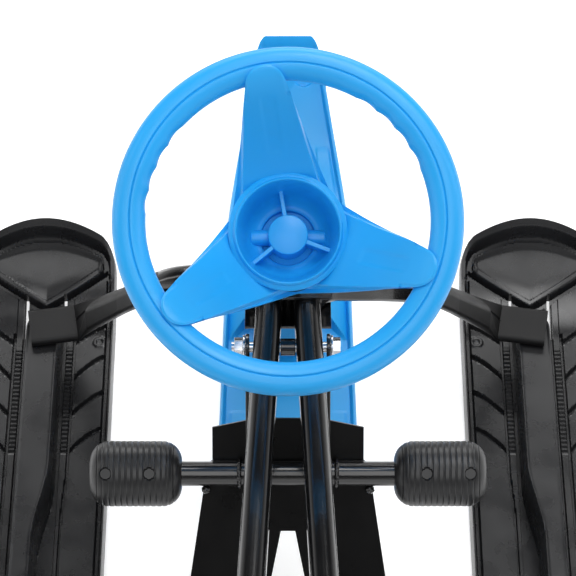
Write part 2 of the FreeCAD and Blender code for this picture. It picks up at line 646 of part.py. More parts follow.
yoke = body("yoke_solid")
yoke_top, yoke_low = "dims.column_low", "dims.ski_pivot_along - 16"
inner_half = "(dims.yoke_half - dims.yoke_plate)"
under = "(dims.column_low - dims.yoke_plate)"
yoke_points = [("dims.yoke_half", yoke_top), ("dims.yoke_half", yoke_low), (inner_half, yoke_low),
               (inner_half, under), (f"-{inner_half}", under), (f"-{inner_half}", yoke_low),
               ("-dims.yoke_half", yoke_low), ("-dims.yoke_half", yoke_top)]
yoke_sketch = outline(yoke, "yoke_profile", "XZ_Plane", yoke_points)
pad(yoke, "yoke_pad", yoke_sketch, "dims.yoke_deep", midplane=True)
on_column(yoke, "0")
ski_y, ski_z = on_axis("dims.ski_pivot_along")
yoke_hole = along_x(cylinder("yoke_hole", "dims.bolt_radius", "80"), "-40", ski_y, ski_z)
node(cut("ski_yoke", yoke, [yoke_hole]), "ski_yoke")

ear_end = "dims.yoke_half + dims.washer_thick"
ski_shank = along_x(cylinder("ski_pivot_shank", "dims.bolt_radius", f"2 * ({ear_end}) + dims.nut_height + 2"),
                    f"-({ear_end}) - dims.nut_height - 2", ski_y, ski_z)
ski_head = along_x(prism("ski_pivot_head", "dims.nut_radius", "dims.nut_height - 1"), ear_end, ski_y, ski_z)
node(fuse("ski_pivot_bolt", [ski_shank, ski_head]), "ski_pivot_bolt")
ski_nut_solid = along_x(prism("ski_nut_solid", "dims.nut_radius", "dims.nut_height"),
                        f"-({ear_end}) - dims.nut_height", ski_y, ski_z)
ski_nut_hole = along_x(cylinder("ski_nut_hole", "dims.bolt_radius", "dims.nut_height"),
                       f"-({ear_end}) - dims.nut_height", ski_y, ski_z)
node(cut("ski_pivot_nut", ski_nut_solid, [ski_nut_hole]), "ski_pivot_nut")
node(group("ski_pivot_washers", [
    washer("ski_washer_a", "dims.yoke_half", ski_y, ski_z),
    washer("ski_washer_b", f"-({ear_end})", ski_y, ski_z)]), "ski_pivot_washers")

# ---------------------------------------------------------------- steering wheel
SPOKES = 3
SPOKE_REACH = 104
SPOKE_FOOT = 38
RIB_LOW, RIB_LONG, RIB_THICK, RIB_SUNK = 6, 22, 3.3, 2
SPOKE_TOP_ANGLE = 90


def on_wheel(thing, along, spin=0.0, radius=0.0, extra=None):
    """Places a thing in the wheel's own frame: along the axis from the rim plane, out at a spin angle."""
    rotation = WHEEL_TURN.multiply(FreeCAD.Rotation(UP, spin))
    base = rotation.multVec(V(radius, 0, along))
    y, z = on_axis("dims.rim_along")
    place(thing, str(base.x), f"{y} + {base.y}", f"{z} + {base.z}", rotation.multiply(extra) if extra else rotation)
    return thing


rim_ring = bind(doc.addObject("Part::Torus", "rim_ring"), Radius1="dims.rim_radius", Radius2="dims.rim_section")
on_wheel(rim_ring, 0)
hub_drop, hub_depth = size("hub_drop"), size("hub_depth")
SEAM = 45
cup = on_wheel(cone("hub_cup", "24", "dims.hub_radius", "dims.hub_depth"), -hub_drop - hub_depth, SEAM)
bowl = on_wheel(cone("hub_bowl", "18", "dims.hub_radius - 6", "dims.hub_depth - 6"), -hub_drop - hub_depth + 6, SEAM)
boss = on_wheel(cylinder("hub_boss", "dims.boss_radius", "dims.hub_depth - dims.boss_drop"), -hub_drop - hub_depth, SEAM)
housing = across_wheel(cylinder("cross_housing", "7", "56"), "-28")
hub_parts = [cut("hub_shell", cup, [bowl]), boss, housing]
rim_top = size("rim_section")
for index in range(SPOKES):
    spin = SPOKE_TOP_ANGLE + index * 360 / SPOKES
    spoke = body(f"spoke_{index}")
    rise, run = hub_drop + 6, SPOKE_REACH - 8 - SPOKE_FOOT
    reach = math.hypot(rise, run)
    points = [("0", "dims.spoke_root / 2"), (str(reach), "dims.spoke_end / 2"),
              (str(reach), "-dims.spoke_end / 2"), ("0", "-dims.spoke_root / 2")]
    pad(spoke, f"spoke_pad_{index}", outline(spoke, f"spoke_plan_{index}", "XY_Plane", points), "dims.spoke_thick")
    tilt = FreeCAD.Rotation(V(0, 1, 0), -math.degrees(math.atan2(rise, run)))
    on_wheel(spoke, -hub_drop - 4, spin, SPOKE_FOOT, tilt)
    tongue = on_wheel(cylinder(f"tongue_{index}", "dims.spoke_end / 2", "10"), rim_top - 7, spin, SPOKE_REACH)
    rib = block(f"hub_rib_{index}", str(RIB_LONG), str(RIB_THICK),
                f"dims.hub_depth - dims.boss_drop - {RIB_LOW + RIB_SUNK}")
    rib_turn = WHEEL_TURN.multiply(FreeCAD.Rotation(UP, spin))
    rib_base = rib_turn.multVec(V(size("boss_radius") - 2, -RIB_THICK / 2, -hub_drop - hub_depth + RIB_LOW))
    y, z = on_axis("dims.rim_along")
    place(rib, str(rib_base.x), f"{y} + {rib_base.y}", f"{z} + {rib_base.z}", rib_turn)
    limit = on_wheel(cone(f"rib_limit_{index}", "24", "dims.hub_radius", "dims.hub_depth"),
                     -hub_drop - hub_depth, SEAM)
    inside = doc.addObject("Part::Common", f"rib_inside_{index}")
    inside.Base, inside.Tool = rib, limit
    hub_parts += [spoke, tongue, inside]
column_socket = on_column(cylinder("column_socket", "dims.column_radius", "60"), "dims.column_high - 60")
cross_bore = across_wheel(cylinder("cross_bore", "3", "80"), "-40")
CROSS_HALF, SPOT_RADIUS, SPOT_DEEP = 34, 6.5, 12
spot_faces = [across_wheel(cylinder("spot_face_right", str(SPOT_RADIUS), str(SPOT_DEEP)), str(CROSS_HALF)),
              across_wheel(cylinder("spot_face_left", str(SPOT_RADIUS), str(SPOT_DEEP)), str(-CROSS_HALF - SPOT_DEEP))]
rim_tool = bind(doc.addObject("Part::Torus", "rim_tool"), Radius1="dims.rim_radius", Radius2="dims.rim_section")
on_wheel(rim_tool, 0)
screw_tools, rim_holes, wheel_screws = [], [], []
for index in range(SPOKES):
    spin = SPOKE_TOP_ANGLE + index * 360 / SPOKES
    low = -size("rim_section") - 1
    screw_tools.append(on_wheel(cylinder(f"wheel_pilot_{index}", "2", "26"), low, spin, SPOKE_REACH + 2))
    shank_hole = on_wheel(cylinder(f"rim_hole_{index}", "2", "30"), low - 2, spin, SPOKE_REACH + 2)
    head_hole = on_wheel(cylinder(f"rim_sink_{index}", "4", "8"), low - 2, spin, SPOKE_REACH + 2)
    rim_holes += [shank_hole, head_hole]
    shank = on_wheel(cylinder(f"wheel_shank_{index}", "2", "19"), low + 6, spin, SPOKE_REACH + 2)
    cap = on_wheel(cylinder(f"wheel_cap_{index}", "4", "3"), low + 3, spin, SPOKE_REACH + 2)
    wheel_screws.append(fuse(f"wheel_screw_{index}", [shank, cap]))
node(cut("steering_wheel_rim", rim_ring, rim_holes), "steering_wheel_rim")
spider = cut("steering_wheel_spider", fuse("spider_solid", hub_parts),
             [rim_tool, column_socket, cross_bore] + spot_faces + screw_tools)
node(spider, "steering_wheel_spider")
node(group("wheel_screws", wheel_screws), "wheel_screws")
cross_shank = across_wheel(cylinder("cross_shank", "3", str(2 * CROSS_HALF + 6)), str(-CROSS_HALF - 6))
cross_head = across_wheel(prism("cross_head", "5.8", "4"), str(CROSS_HALF))
node(fuse("wheel_cross_bolt", [cross_shank, cross_head]), "wheel_cross_bolt")
cross_nut = across_wheel(prism("cross_nut_solid", "5.8", "5"), str(-CROSS_HALF - 5))
cross_eye = across_wheel(cylinder("cross_nut_hole", "3", "5"), str(-CROSS_HALF - 5))
node(cut("wheel_cross_nut", cross_nut, [cross_eye]), "wheel_cross_nut")

# ---------------------------------------------------------------- front ski
node(feature("front_ski", front_ski()), "front_ski")
ear = "dims.yoke_half - dims.yoke_plate - 0.6"
ski_bushes = []
for side, start in (("right", f"{ear} - 14"), ("left", f"-({ear})")):
    sleeve = along_x(cylinder(f"ski_sleeve_{side}", "7", "14"), start, ski_y, ski_z)
    hole = along_x(cylinder(f"ski_sleeve_hole_{side}", "dims.bolt_radius + dims.running_gap", "14"),
                   start, ski_y, ski_z)
    ski_bushes.append(cut(f"ski_bush_{side}", sleeve, [hole]))
node(group("ski_bushes", ski_bushes), "ski_bushes")

# ---------------------------------------------------------------- brake
bar_length = "2 * (dims.peg_outer - 6)"
node(along_x(cylinder("foot_bar_solid", "dims.bar_radius", bar_length), "-(dims.peg_outer - 6)",
             "dims.bar_y", "dims.bar_z"), "foot_bar")
drop, back = size("rail_z") - size("bar_z"), size("pivot_y") - size("bar_y")
strap_reach = math.hypot(drop, back)
strap_turn = FreeCAD.Rotation(X_AXIS, -math.degrees(math.atan2(back, drop)))
for side, sign in RIGHT_AND_LEFT:
    start = "dims.strap_inner" if sign > 0 else "-dims.strap_inner - dims.strap_thick"
    top_eye = along_x(cylinder(f"strap_top_{side}", "dims.strap_half", "dims.strap_thick"), start,
                      "dims.pivot_y", "dims.rail_z")
    low_eye = along_x(cylinder(f"strap_low_{side}", "dims.strap_half + 3", "dims.strap_thick"), start,
                      "dims.bar_y", "dims.bar_z")
    web = block(f"strap_web_{side}", "dims.strap_thick", "2 * dims.strap_half", str(strap_reach))
    shift = strap_turn.multVec(V(0, -size("strap_half"), 0))
    place(web, start, f"dims.bar_y + {shift.y}", f"dims.bar_z + {shift.z}", strap_turn)
    pivot_eye = along_x(cylinder(f"strap_pivot_{side}", "dims.bolt_radius + dims.running_gap", "dims.strap_thick"),
                        start, "dims.pivot_y", "dims.rail_z")
    bar_eye = along_x(cylinder(f"strap_bar_{side}", "dims.bar_radius", "dims.strap_thick"),
                      start, "dims.bar_y", "dims.bar_z")
    strap = cut(f"brake_strap_{side}", fuse(f"strap_solid_{side}", [top_eye, low_eye, web]), [pivot_eye, bar_eye])
    node(strap, f"brake_strap_{side}")

# The plate passes under the bar; its two claws end in teeth.
plate = body("brake_plate_sheet")
NOTCH_TOP, CLAW, TOOTH, TEETH = 48, 142, 9, 4
NOTCH_HALF, NOTCH_WIDE, CLAW_HALF = 5.5, 24, 84
right_edge = [(NOTCH_HALF, -NOTCH_TOP), (NOTCH_WIDE, -CLAW)]
for tooth in range(TEETH):
    step = (CLAW_HALF - NOTCH_WIDE) / TEETH
    right_edge.append((NOTCH_WIDE + step * (tooth + 0.5), -CLAW - TOOTH))
    right_edge.append((NOTCH_WIDE + step * (tooth + 1), -CLAW))
right_edge += [(65, -16), (58, -4), (58, 34), (24, 41)]
plate_points = [(str(x), str(y)) for x, y in right_edge]
plate_points += [(str(-x), str(y)) for x, y in reversed(right_edge)]
plate_turn = FreeCAD.Rotation(X_AXIS, size("brake_slope"))
pad(plate, "brake_plate_pad", outline(plate, "brake_plate_plan", "XY_Plane", plate_points), "dims.plate_thick")
under_bar = "(dims.bar_radius + dims.plate_thick)"
place(plate, "0", f"dims.bar_y + {under_bar} * sin(dims.brake_slope)",
      f"dims.bar_z - {under_bar} * cos(dims.brake_slope)", plate_turn)
strap_slots = []
for side, sign in RIGHT_AND_LEFT:
    start = "dims.strap_inner" if sign > 0 else "-dims.strap_inner - dims.strap_thick"
    slot = along_x(cylinder(f"plate_slot_{side}", "dims.strap_half + 3", "dims.strap_thick"), start,
                   "dims.bar_y", "dims.bar_z")
    slot_web = block(f"plate_slot_web_{side}", "dims.strap_thick", "2 * dims.strap_half", str(strap_reach))
    place(slot_web, start, f"dims.bar_y + {shift.y}", f"dims.bar_z + {shift.z}", strap_turn)
    strap_slots += [slot, slot_web]
node(cut("brake_plate", plate, strap_slots), "brake_plate")


PEG_ROUND = 14
peg_screws = []
PEG_SCREWS = (105, 138)
SCREW_TILT = FreeCAD.Rotation(X_AXIS, 36)
screw_way = SCREW_TILT.multVec(UP)
HEAD_SINK = 5
bar_surface = size("bar_radius")
head_seat = size("peg_radius") - HEAD_SINK


def radial(thing, x, out):
    """Places a thing square to the foot bar along the peg screws' direction, out from the bar's middle."""
    return place(thing, str(x), f"dims.bar_y + {screw_way.y * out}", f"dims.bar_z + {screw_way.z * out}", SCREW_TILT)


for side, sign in RIGHT_AND_LEFT:
    start = "dims.peg_inner" if sign > 0 else "-dims.peg_outer"
    barrel = along_x(cylinder(f"peg_barrel_{side}", "dims.peg_radius", "dims.peg_outer - dims.peg_inner"),
                     start, "dims.bar_y", "dims.bar_z")
    rounded = doc.addObject("Part::Fillet", f"peg_round_{side}")
    rounded.Base = barrel
    rounded.Edges = [(1, PEG_ROUND, PEG_ROUND), (3, PEG_ROUND, PEG_ROUND)]
    bore = along_x(cylinder(f"peg_bore_{side}", "dims.bar_radius", "dims.peg_outer - dims.peg_inner - 4"),
                   start if sign > 0 else "-dims.peg_outer + 4", "dims.bar_y", "dims.bar_z")
    holes = []
    for number, aside in enumerate(PEG_SCREWS):
        x, tag = sign * aside, f"{side}_{number}"
        holes.append(radial(cylinder(f"peg_pilot_{tag}", "2", "30"), x, bar_surface - 1))
        holes.append(radial(cylinder(f"peg_sink_{tag}", "4", "10"), x, head_seat))
        shank = radial(cylinder(f"peg_shank_{tag}", "2", str(head_seat - bar_surface)), x, bar_surface)
        cap = radial(cylinder(f"peg_cap_{tag}", "4", "2.5"), x, head_seat)
        peg_screws.append(fuse(f"peg_screw_{tag}", [shank, cap]))
    node(cut(f"foot_peg_{side}", rounded, [bore] + holes), f"foot_peg_{side}")
node(group("peg_screws", peg_screws), "peg_screws")

# Each return spring runs from a lug under its rail to the foot bar; its coil is held as a thin sleeve.
LUG_X, LUG_Y, LUG_DROP = 25, -66, 8
lugs, springs = [], []
for side, sign in RIGHT_AND_LEFT:
    x = sign * LUG_X
    lug = place(block(f"lug_plate_{side}", "3", "14", "14"), str(x - 1.5), f"{LUG_Y} - 7",
                "dims.rail_z - dims.tube_height / 2 - 14")
    lug_z = size("rail_z") - size("tube_height") / 2 - LUG_DROP
    lug_eye = along_x(cylinder(f"lug_eye_{side}", "2.5", "3"), str(x - 1.5), str(LUG_Y), str(lug_z))
    lugs.append(cut(f"lug_{side}", lug, [lug_eye]))
    reach_y, reach_z = size("bar_y") - LUG_Y, size("bar_z") - lug_z
    span = math.hypot(reach_y, reach_z)
    tilt = FreeCAD.Rotation(UP, V(0, reach_y, reach_z))
    gap_low, gap_high = 12, size("bar_radius") + 4
    y, z = LUG_Y + reach_y / span * gap_low, lug_z + reach_z / span * gap_low
    length = str(span - gap_low - gap_high)
    coil = place(cylinder(f"coil_outer_{side}", "5.5", length), str(x), str(y), str(z), tilt)
    core = place(cylinder(f"coil_inner_{side}", "4", length), str(x), str(y), str(z), tilt)
    springs.append(cut(f"spring_{side}", coil, [core]))
node(group("spring_lugs", lugs), "spring_lugs")
node(group("brake_springs", springs), "brake_springs")

# ---------------------------------------------------------------- check and write
doc.recompute()
faults = [f"{thing.Name}: {thing.State}" for thing in doc.Objects
          if any(word in thing.State for word in ("Invalid", "Error"))]
faults += [f"{thing.Label}: bad shape" for thing in NODES if thing.Shape.isNull() or not thing.Shape.isValid()]
if faults:
    raise SystemExit("\n".join(faults))
for thing in NODES:
    shape = thing.Shape
    box = shape.BoundBox
    print(f"{thing.Label:24s} solids {len(shape.Solids)} cm3 {shape.Volume / 1000:8.2f} "
          f"X {box.XMin:7.1f} {box.XMax:7.1f} Y {box.YMin:7.1f} {box.YMax:7.1f} Z {box.ZMin:6.1f} {box.ZMax:6.1f}")
    shape.exportStep(f"parts/{thing.Label}.step")
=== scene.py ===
import json
import math

import bmesh
import bpy
import numpy as np
from mathutils import Matrix, Vector


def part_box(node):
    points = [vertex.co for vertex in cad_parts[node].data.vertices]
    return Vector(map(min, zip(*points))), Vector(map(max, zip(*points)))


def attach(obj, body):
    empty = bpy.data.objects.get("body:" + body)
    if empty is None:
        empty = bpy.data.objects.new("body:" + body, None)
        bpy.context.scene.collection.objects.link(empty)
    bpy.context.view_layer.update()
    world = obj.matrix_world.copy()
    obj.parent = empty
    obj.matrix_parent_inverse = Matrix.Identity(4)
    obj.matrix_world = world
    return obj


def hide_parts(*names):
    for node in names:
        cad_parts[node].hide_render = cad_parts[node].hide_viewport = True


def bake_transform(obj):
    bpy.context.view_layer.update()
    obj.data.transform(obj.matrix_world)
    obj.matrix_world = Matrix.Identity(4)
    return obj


# Steerable snow sled, finished for looks. The frame is in metres, and MM turns millimetres into metres.
# +Y is forwards and +Z is up, as in the frame.
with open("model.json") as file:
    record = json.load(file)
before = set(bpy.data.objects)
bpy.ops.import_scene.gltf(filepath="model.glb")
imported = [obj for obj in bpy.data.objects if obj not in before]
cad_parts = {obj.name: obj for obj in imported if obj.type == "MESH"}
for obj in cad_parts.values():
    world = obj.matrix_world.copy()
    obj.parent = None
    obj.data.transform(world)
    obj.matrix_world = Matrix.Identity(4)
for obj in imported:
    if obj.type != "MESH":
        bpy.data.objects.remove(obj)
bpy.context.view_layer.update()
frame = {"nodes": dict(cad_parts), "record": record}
MM = 0.001
SIDES = ((1, "right"), (-1, "left"))
rng = np.random.default_rng(7)


# ---- where the CAD put things
def middle(node):
    """Middle of a CAD node's box."""
    low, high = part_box(node)
    return Vector([(a + b) / 2 for a, b in zip(low, high)])


JOINTS = {joint["name"]: joint for joint in frame["record"]["behaviour"]["joints"]}
HEAD = Vector(JOINTS["steer"]["pos_m"])
AXIS = Vector(JOINTS["steer"]["axis"]).normalized()
ACROSS = Vector((1, 0, 0))

# The wheel is built in its own frame: the steering axis is Z and the rim's middle is the origin.
RIM_ALONG = 174.9 * MM
WHEEL_TURN = math.radians(9.4)
SPOKE_ANGLES = [math.radians(90 + 120 * k) for k in range(3)]
WHEEL_AXES = Matrix((ACROSS, AXIS.cross(ACROSS), AXIS)).transposed().to_4x4()
WHEEL = Matrix.Translation(HEAD + AXIS * RIM_ALONG) @ WHEEL_AXES @ Matrix.Rotation(WHEEL_TURN, 4, "Z")


# ---- materials
NOISE_LOW, NOISE_HIGH = 0.3, 0.7  # the part of a noise's range that its values mostly lie in


def set_inputs(node, values):
    """Sets a node's sockets by their names."""
    for name, value in values.items():
        node.inputs[name].default_value = value


def node_material(name, colour, roughness, metallic=0.0, coat=0.0, specular=0.5):
    """A material and its shader, with the values that are the same all over the surface."""
    material = bpy.data.materials.new(name)
    material.use_nodes = True
    shader = material.node_tree.nodes["Principled BSDF"]
    set_inputs(shader, {"Base Color": (*colour, 1), "Roughness": roughness, "Metallic": metallic,
                        "Coat Weight": coat, "Specular IOR Level": specular})
    return material, shader


def noise(shader, scale, detail=3.0, stretch=(1, 1, 1)):
    """Noise in object space, stretched along an axis for brushed or streaked finishes."""
    tree = shader.id_data
    coordinates = tree.nodes.new("ShaderNodeTexCoord")
    mapping = tree.nodes.new("ShaderNodeMapping")
    set_inputs(mapping, {"Scale": stretch})
    texture = tree.nodes.new("ShaderNodeTexNoise")
    set_inputs(texture, {"Scale": scale, "Detail": detail})
    tree.links.new(coordinates.outputs["Object"], mapping.inputs["Vector"])
    tree.links.new(mapping.outputs["Vector"], texture.inputs["Vector"])
    return texture.outputs["Fac"]


def spread(shader, factor, low, high):
    """Spreads the roughness from low to high by a noise factor."""
    tree = shader.id_data
    span = tree.nodes.new("ShaderNodeMapRange")
    set_inputs(span, {"From Min": NOISE_LOW, "From Max": NOISE_HIGH, "To Min": low, "To Max": high})
    tree.links.new(factor, span.inputs["Value"])
    tree.links.new(span.outputs["Result"], shader.inputs["Roughness"])


def tint(shader, factor, dark, light):
    """Blends the base colour between two colours by a noise factor."""
    tree = shader.id_data
    ramp = tree.nodes.new("ShaderNodeValToRGB")
    ramp.color_ramp.elements[0].position = NOISE_LOW
    ramp.color_ramp.elements[0].color = (*dark, 1)
    ramp.color_ramp.elements[1].position = NOISE_HIGH
    ramp.color_ramp.elements[1].color = (*light, 1)
    tree.links.new(factor, ramp.inputs["Fac"])
    tree.links.new(ramp.outputs["Color"], shader.inputs["Base Color"])


def bump(shader, height, distance, strength=1.0):
    """Adds a bump, on top of the shader's present one if it has one."""
    tree = shader.id_data
    bumped = tree.nodes.new("ShaderNodeBump")
    set_inputs(bumped, {"Distance": distance, "Strength": strength})
    tree.links.new(height, bumped.inputs["Height"])
    if shader.inputs["Normal"].is_linked:
        tree.links.new(shader.inputs["Normal"].links[0].from_socket, bumped.inputs["Normal"])
    tree.links.new(bumped.outputs["Normal"], shader.inputs["Normal"])


def shade(colour, factor):
    """A colour made darker or lighter."""
    return tuple(min(1.0, channel * factor) for channel in colour)


def moulded_plastic(name, colour, roughness, grain, specular=0.5):
    """Injection-moulded plastic: fine spark texture, slow gloss drift, faint flow tint and shallow waves."""
    material, shader = node_material(name, colour, roughness, specular=specular)
    tint(shader, noise(shader, 9, 2), shade(colour, 0.93), shade(colour, 1.05))
    spread(shader, noise(shader, 38, 4), roughness - 0.04, roughness + 0.06)
    bump(shader, noise(shader, 2600, 2), grain)
    bump(shader, noise(shader, 130, 2), grain * 2, 0.5)
    return material


def gloss_paint(name, colour):
    """Powder coat over steel: orange peel, a clear gloss and light scuffs."""
    material, shader = node_material(name, colour, 0.2, coat=0.5)
    shader.inputs["Coat Roughness"].default_value = 0.07
    tint(shader, noise(shader, 60, 4), shade(colour, 0.8), shade(colour, 1.3))
    spread(shader, noise(shader, 55, 5, (1, 0.25, 1)), 0.16, 0.27)
    bump(shader, noise(shader, 420, 2), 0.00006)
    return material


def plated_metal(name, colour, roughness):
    """Bright zinc plate with fine drawing lines and slightly dulled spots."""
    material, shader = node_material(name, colour, roughness, metallic=1.0)
    tint(shader, noise(shader, 150, 3), shade(colour, 0.82), colour)
    spread(shader, noise(shader, 300, 3, (0.2, 1, 1)), roughness - 0.06, roughness + 0.1)
    bump(shader, noise(shader, 900, 2, (0.08, 1, 1)), 0.00004)
    return material


def woven_cover(name, colour):
    """Coated plain weave: crossing warp and weft ridges with small thread-to-thread variation."""
    material, shader = node_material(name, colour, 0.72)
    set_inputs(shader, {"Sheen Weight": 0.25, "Sheen Roughness": 0.4})
    tree = material.node_tree
    coordinates = tree.nodes.new("ShaderNodeTexCoord")
    heights = []
    for direction in ("X", "Y"):
        threads = tree.nodes.new("ShaderNodeTexWave")
        threads.bands_direction = direction
        set_inputs(threads, {"Scale": 190, "Distortion": 0.6, "Detail Scale": 3})
        tree.links.new(coordinates.outputs["Object"], threads.inputs["Vector"])
        heights.append(threads.outputs["Fac"])
    weave = tree.nodes.new("ShaderNodeMath")
    weave.operation = "MULTIPLY"
    for socket, height in zip(weave.inputs, heights):
        tree.links.new(height, socket)
    tint(shader, noise(shader, 70, 4), shade(colour, 0.75), shade(colour, 1.5))
    spread(shader, noise(shader, 45, 3), 0.64, 0.8)
    bump(shader, weave.outputs["Value"], 0.0003)
    return material


BLUE = moulded_plastic("blue_plastic", (0.010, 0.35, 0.8), 0.4, 0.000012)
BLACK = moulded_plastic("black_plastic", (0.011, 0.0112, 0.0125), 0.27, 0.00002)
RUBBER = moulded_plastic("peg_rubber", (0.009, 0.0092, 0.0102), 0.36, 0.00003)
NYLON = moulded_plastic("nylon", (0.6, 0.6, 0.56), 0.42, 0.00001)
PAINT = gloss_paint("frame_paint", (0.004, 0.004, 0.0045))
SATIN = moulded_plastic("satin_paint", (0.004, 0.004, 0.0044), 0.45, 0.00001, specular=0.25)
PLATE = moulded_plastic("plate_paint", (0.002, 0.002, 0.0022), 0.3, 0.00001, specular=0.25)
ZINC = plated_metal("zinc", (0.72, 0.73, 0.75), 0.24)
DARK_ZINC = plated_metal("black_zinc", (0.07, 0.07, 0.075), 0.34)
COVER = woven_cover("seat_cover", (0.022, 0.022, 0.024))


# ---- mesh helpers
def full_turn(count):
    """Even angles round a circle."""
    return np.linspace(0, 2 * math.pi, count, endpoint=False)


def merged(parts, digits):
    """The steps of several lists in order, with repeats removed."""
    return np.unique(np.round(np.concatenate(parts), digits))


def vertex_array(mesh):
    """A mesh's points, one row each."""
    flat = np.empty(len(mesh.vertices) * 3)
    mesh.vertices.foreach_get("co", flat)
    return flat.reshape(-1, 3)


def ring_faces(rows, columns, wrap_rows=False):
    """Quads between rings of points. wrap_rows joins the last ring to the first."""
    last_row = rows if wrap_rows else rows - 1
    i, j = np.meshgrid(np.arange(last_row), np.arange(columns), indexing="ij")
    i, j = i.ravel(), j.ravel()
    this_ring, next_ring = i * columns, (i + 1) % rows * columns
    j_next = (j + 1) % columns
    return np.stack([this_ring + j, this_ring + j_next, next_ring + j_next, next_ring + j], 1)


def capped_faces(rows, columns):
    """Quads between rings, with one flat face over the first ring and one over the last."""
    last = (rows - 1) * columns
    return ring_faces(rows, columns).tolist() + [list(range(columns)), [last + k for k in range(columns)]]


def add_object(name, data):
    """A new object in the scene that holds a mesh, a lamp or a camera."""
    obj = bpy.data.objects.new(name, data)
    bpy.context.collection.objects.link(obj)
    return obj


def finish_mesh(mesh, edit, crease):
    """Writes an edit back, with outward normals and smooth shading broken at creases, in degrees."""
    bmesh.ops.recalc_face_normals(edit, faces=edit.faces)
    edit.to_mesh(mesh)
    edit.free()
    mesh.shade_smooth()
    mesh.set_sharp_from_angle(angle=math.radians(crease))


def mesh_object(name, points, faces, material, crease=38):
    """A mesh object from points and faces, with points that coincide made one."""
    mesh = bpy.data.meshes.new(name)
    mesh.from_pydata(np.asarray(points, float).tolist(), [], [list(map(int, face)) for face in faces])
    obj = add_object(name, mesh)
    mesh.materials.append(material)
    edit = bmesh.new()
    edit.from_mesh(mesh)
    bmesh.ops.remove_doubles(edit, verts=edit.verts, dist=1e-7)
    finish_mesh(mesh, edit, crease)
    return obj


def apply_place(obj, matrix):
    """Moves an object's mesh, so that the object itself stays at the origin."""
    obj.data.transform(matrix)
    return obj


def join(name, objects):
    """One object out of several, keeping the first one's material slots."""
    edit = bmesh.new()
    for other in objects:
        edit.from_mesh(other.data)
    mesh = bpy.data.meshes.new(name)
    edit.to_mesh(mesh)
    edit.free()
    mesh.materials.append(objects[0].data.materials[0])
    joined = add_object(name, mesh)
    for other in objects:
        bpy.data.objects.remove(other)
    return joined


def smooth_step(value, low, high):
    """0 up to low, 1 from high, and a smooth rise between them."""
    t = np.clip((value - low) / (high - low), 0, 1)
    return t * t * (3 - 2 * t)


def band(value, low, high, soft):
    """1 between low and high, falling to 0 over soft on each side."""
    return smooth_step(value, low - soft, low) * (1 - smooth_step(value, high, high + soft))


def revolve(name, profile, segments, material, crease=38):
    """Closed profile of (radius, height) points turned about Z."""
    angles = full_turn(segments)
    profile = np.asarray(profile, float)
    points = np.zeros((len(profile), segments, 3))
    points[..., 0] = profile[:, :1] * np.cos(angles)
    points[..., 1] = profile[:, :1] * np.sin(angles)
    points[..., 2] = profile[:, 1:]
    faces = ring_faces(len(profile), segments, wrap_rows=True)
    return mesh_object(name, points.reshape(-1, 3), faces, material, crease)


def tube(name, path, radius, material, sides, closed=False, crease=50):
    """Round section swept along a path, closed or with flat ends. radius is one number or one per point."""
    path = np.asarray(path, float)
    count = len(path)
    ahead = np.roll(path, -1, 0) if closed else np.vstack([path[1:], path[-1:]])
    behind = np.roll(path, 1, 0) if closed else np.vstack([path[:1], path[:-1]])
    heading = ahead - behind
    heading /= np.linalg.norm(heading, axis=1)[:, None]
    no_path_starts_this_way = (0.31, 0.17, 0.93)
    side = np.cross(heading[0], no_path_starts_this_way)
    across = []
    for direction in heading:
        side = side - direction * np.dot(side, direction)
        side /= np.linalg.norm(side)
        across.append(side)
    across = np.array(across)
    upward = np.cross(heading, across)
    angles = full_turn(sides)
    cosine, sine = np.cos(angles)[None, :, None], np.sin(angles)[None, :, None]
    size = np.broadcast_to(np.asarray(radius, float), count)
    points = path[:, None] + (across[:, None] * cosine + upward[:, None] * sine) * size[:, None, None]
    faces = ring_faces(count, sides, wrap_rows=True) if closed else capped_faces(count, sides)
    return mesh_object(name, points.reshape(-1, 3), faces, material, crease)


def finish_node(name, material, bevel=0.0):
    """A CAD node kept as it is, with a finish and a small edge rounding."""
    obj = frame["nodes"][name]
    obj.data.materials.clear()
    obj.data.materials.append(material)
    if bevel:
        weld = obj.modifiers.new("weld", "WELD")
        weld.merge_threshold = 0.02 * MM
        rounding = obj.modifiers.new("round", "BEVEL")
        rounding.width = bevel
        rounding.segments = 2
        rounding.limit_method = "ANGLE"
        rounding.angle_limit = math.radians(30)
        rounding.harden_normals = False
        weighted = obj.modifiers.new("normals", "WEIGHTED_NORMAL")
        weighted.keep_sharp = False
    return obj


def settle(obj, body, slot, *nodes):
    """Puts a detailed piece on its body, in place of CAD nodes. The slot is not used."""
    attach(obj, body)
    if nodes:
        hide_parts(*nodes)
    return obj


# ---- steering wheel
RIM_RADIUS, RIM_SECTION = 113 * MM, 12 * MM
HUB_DROP = 50 * MM


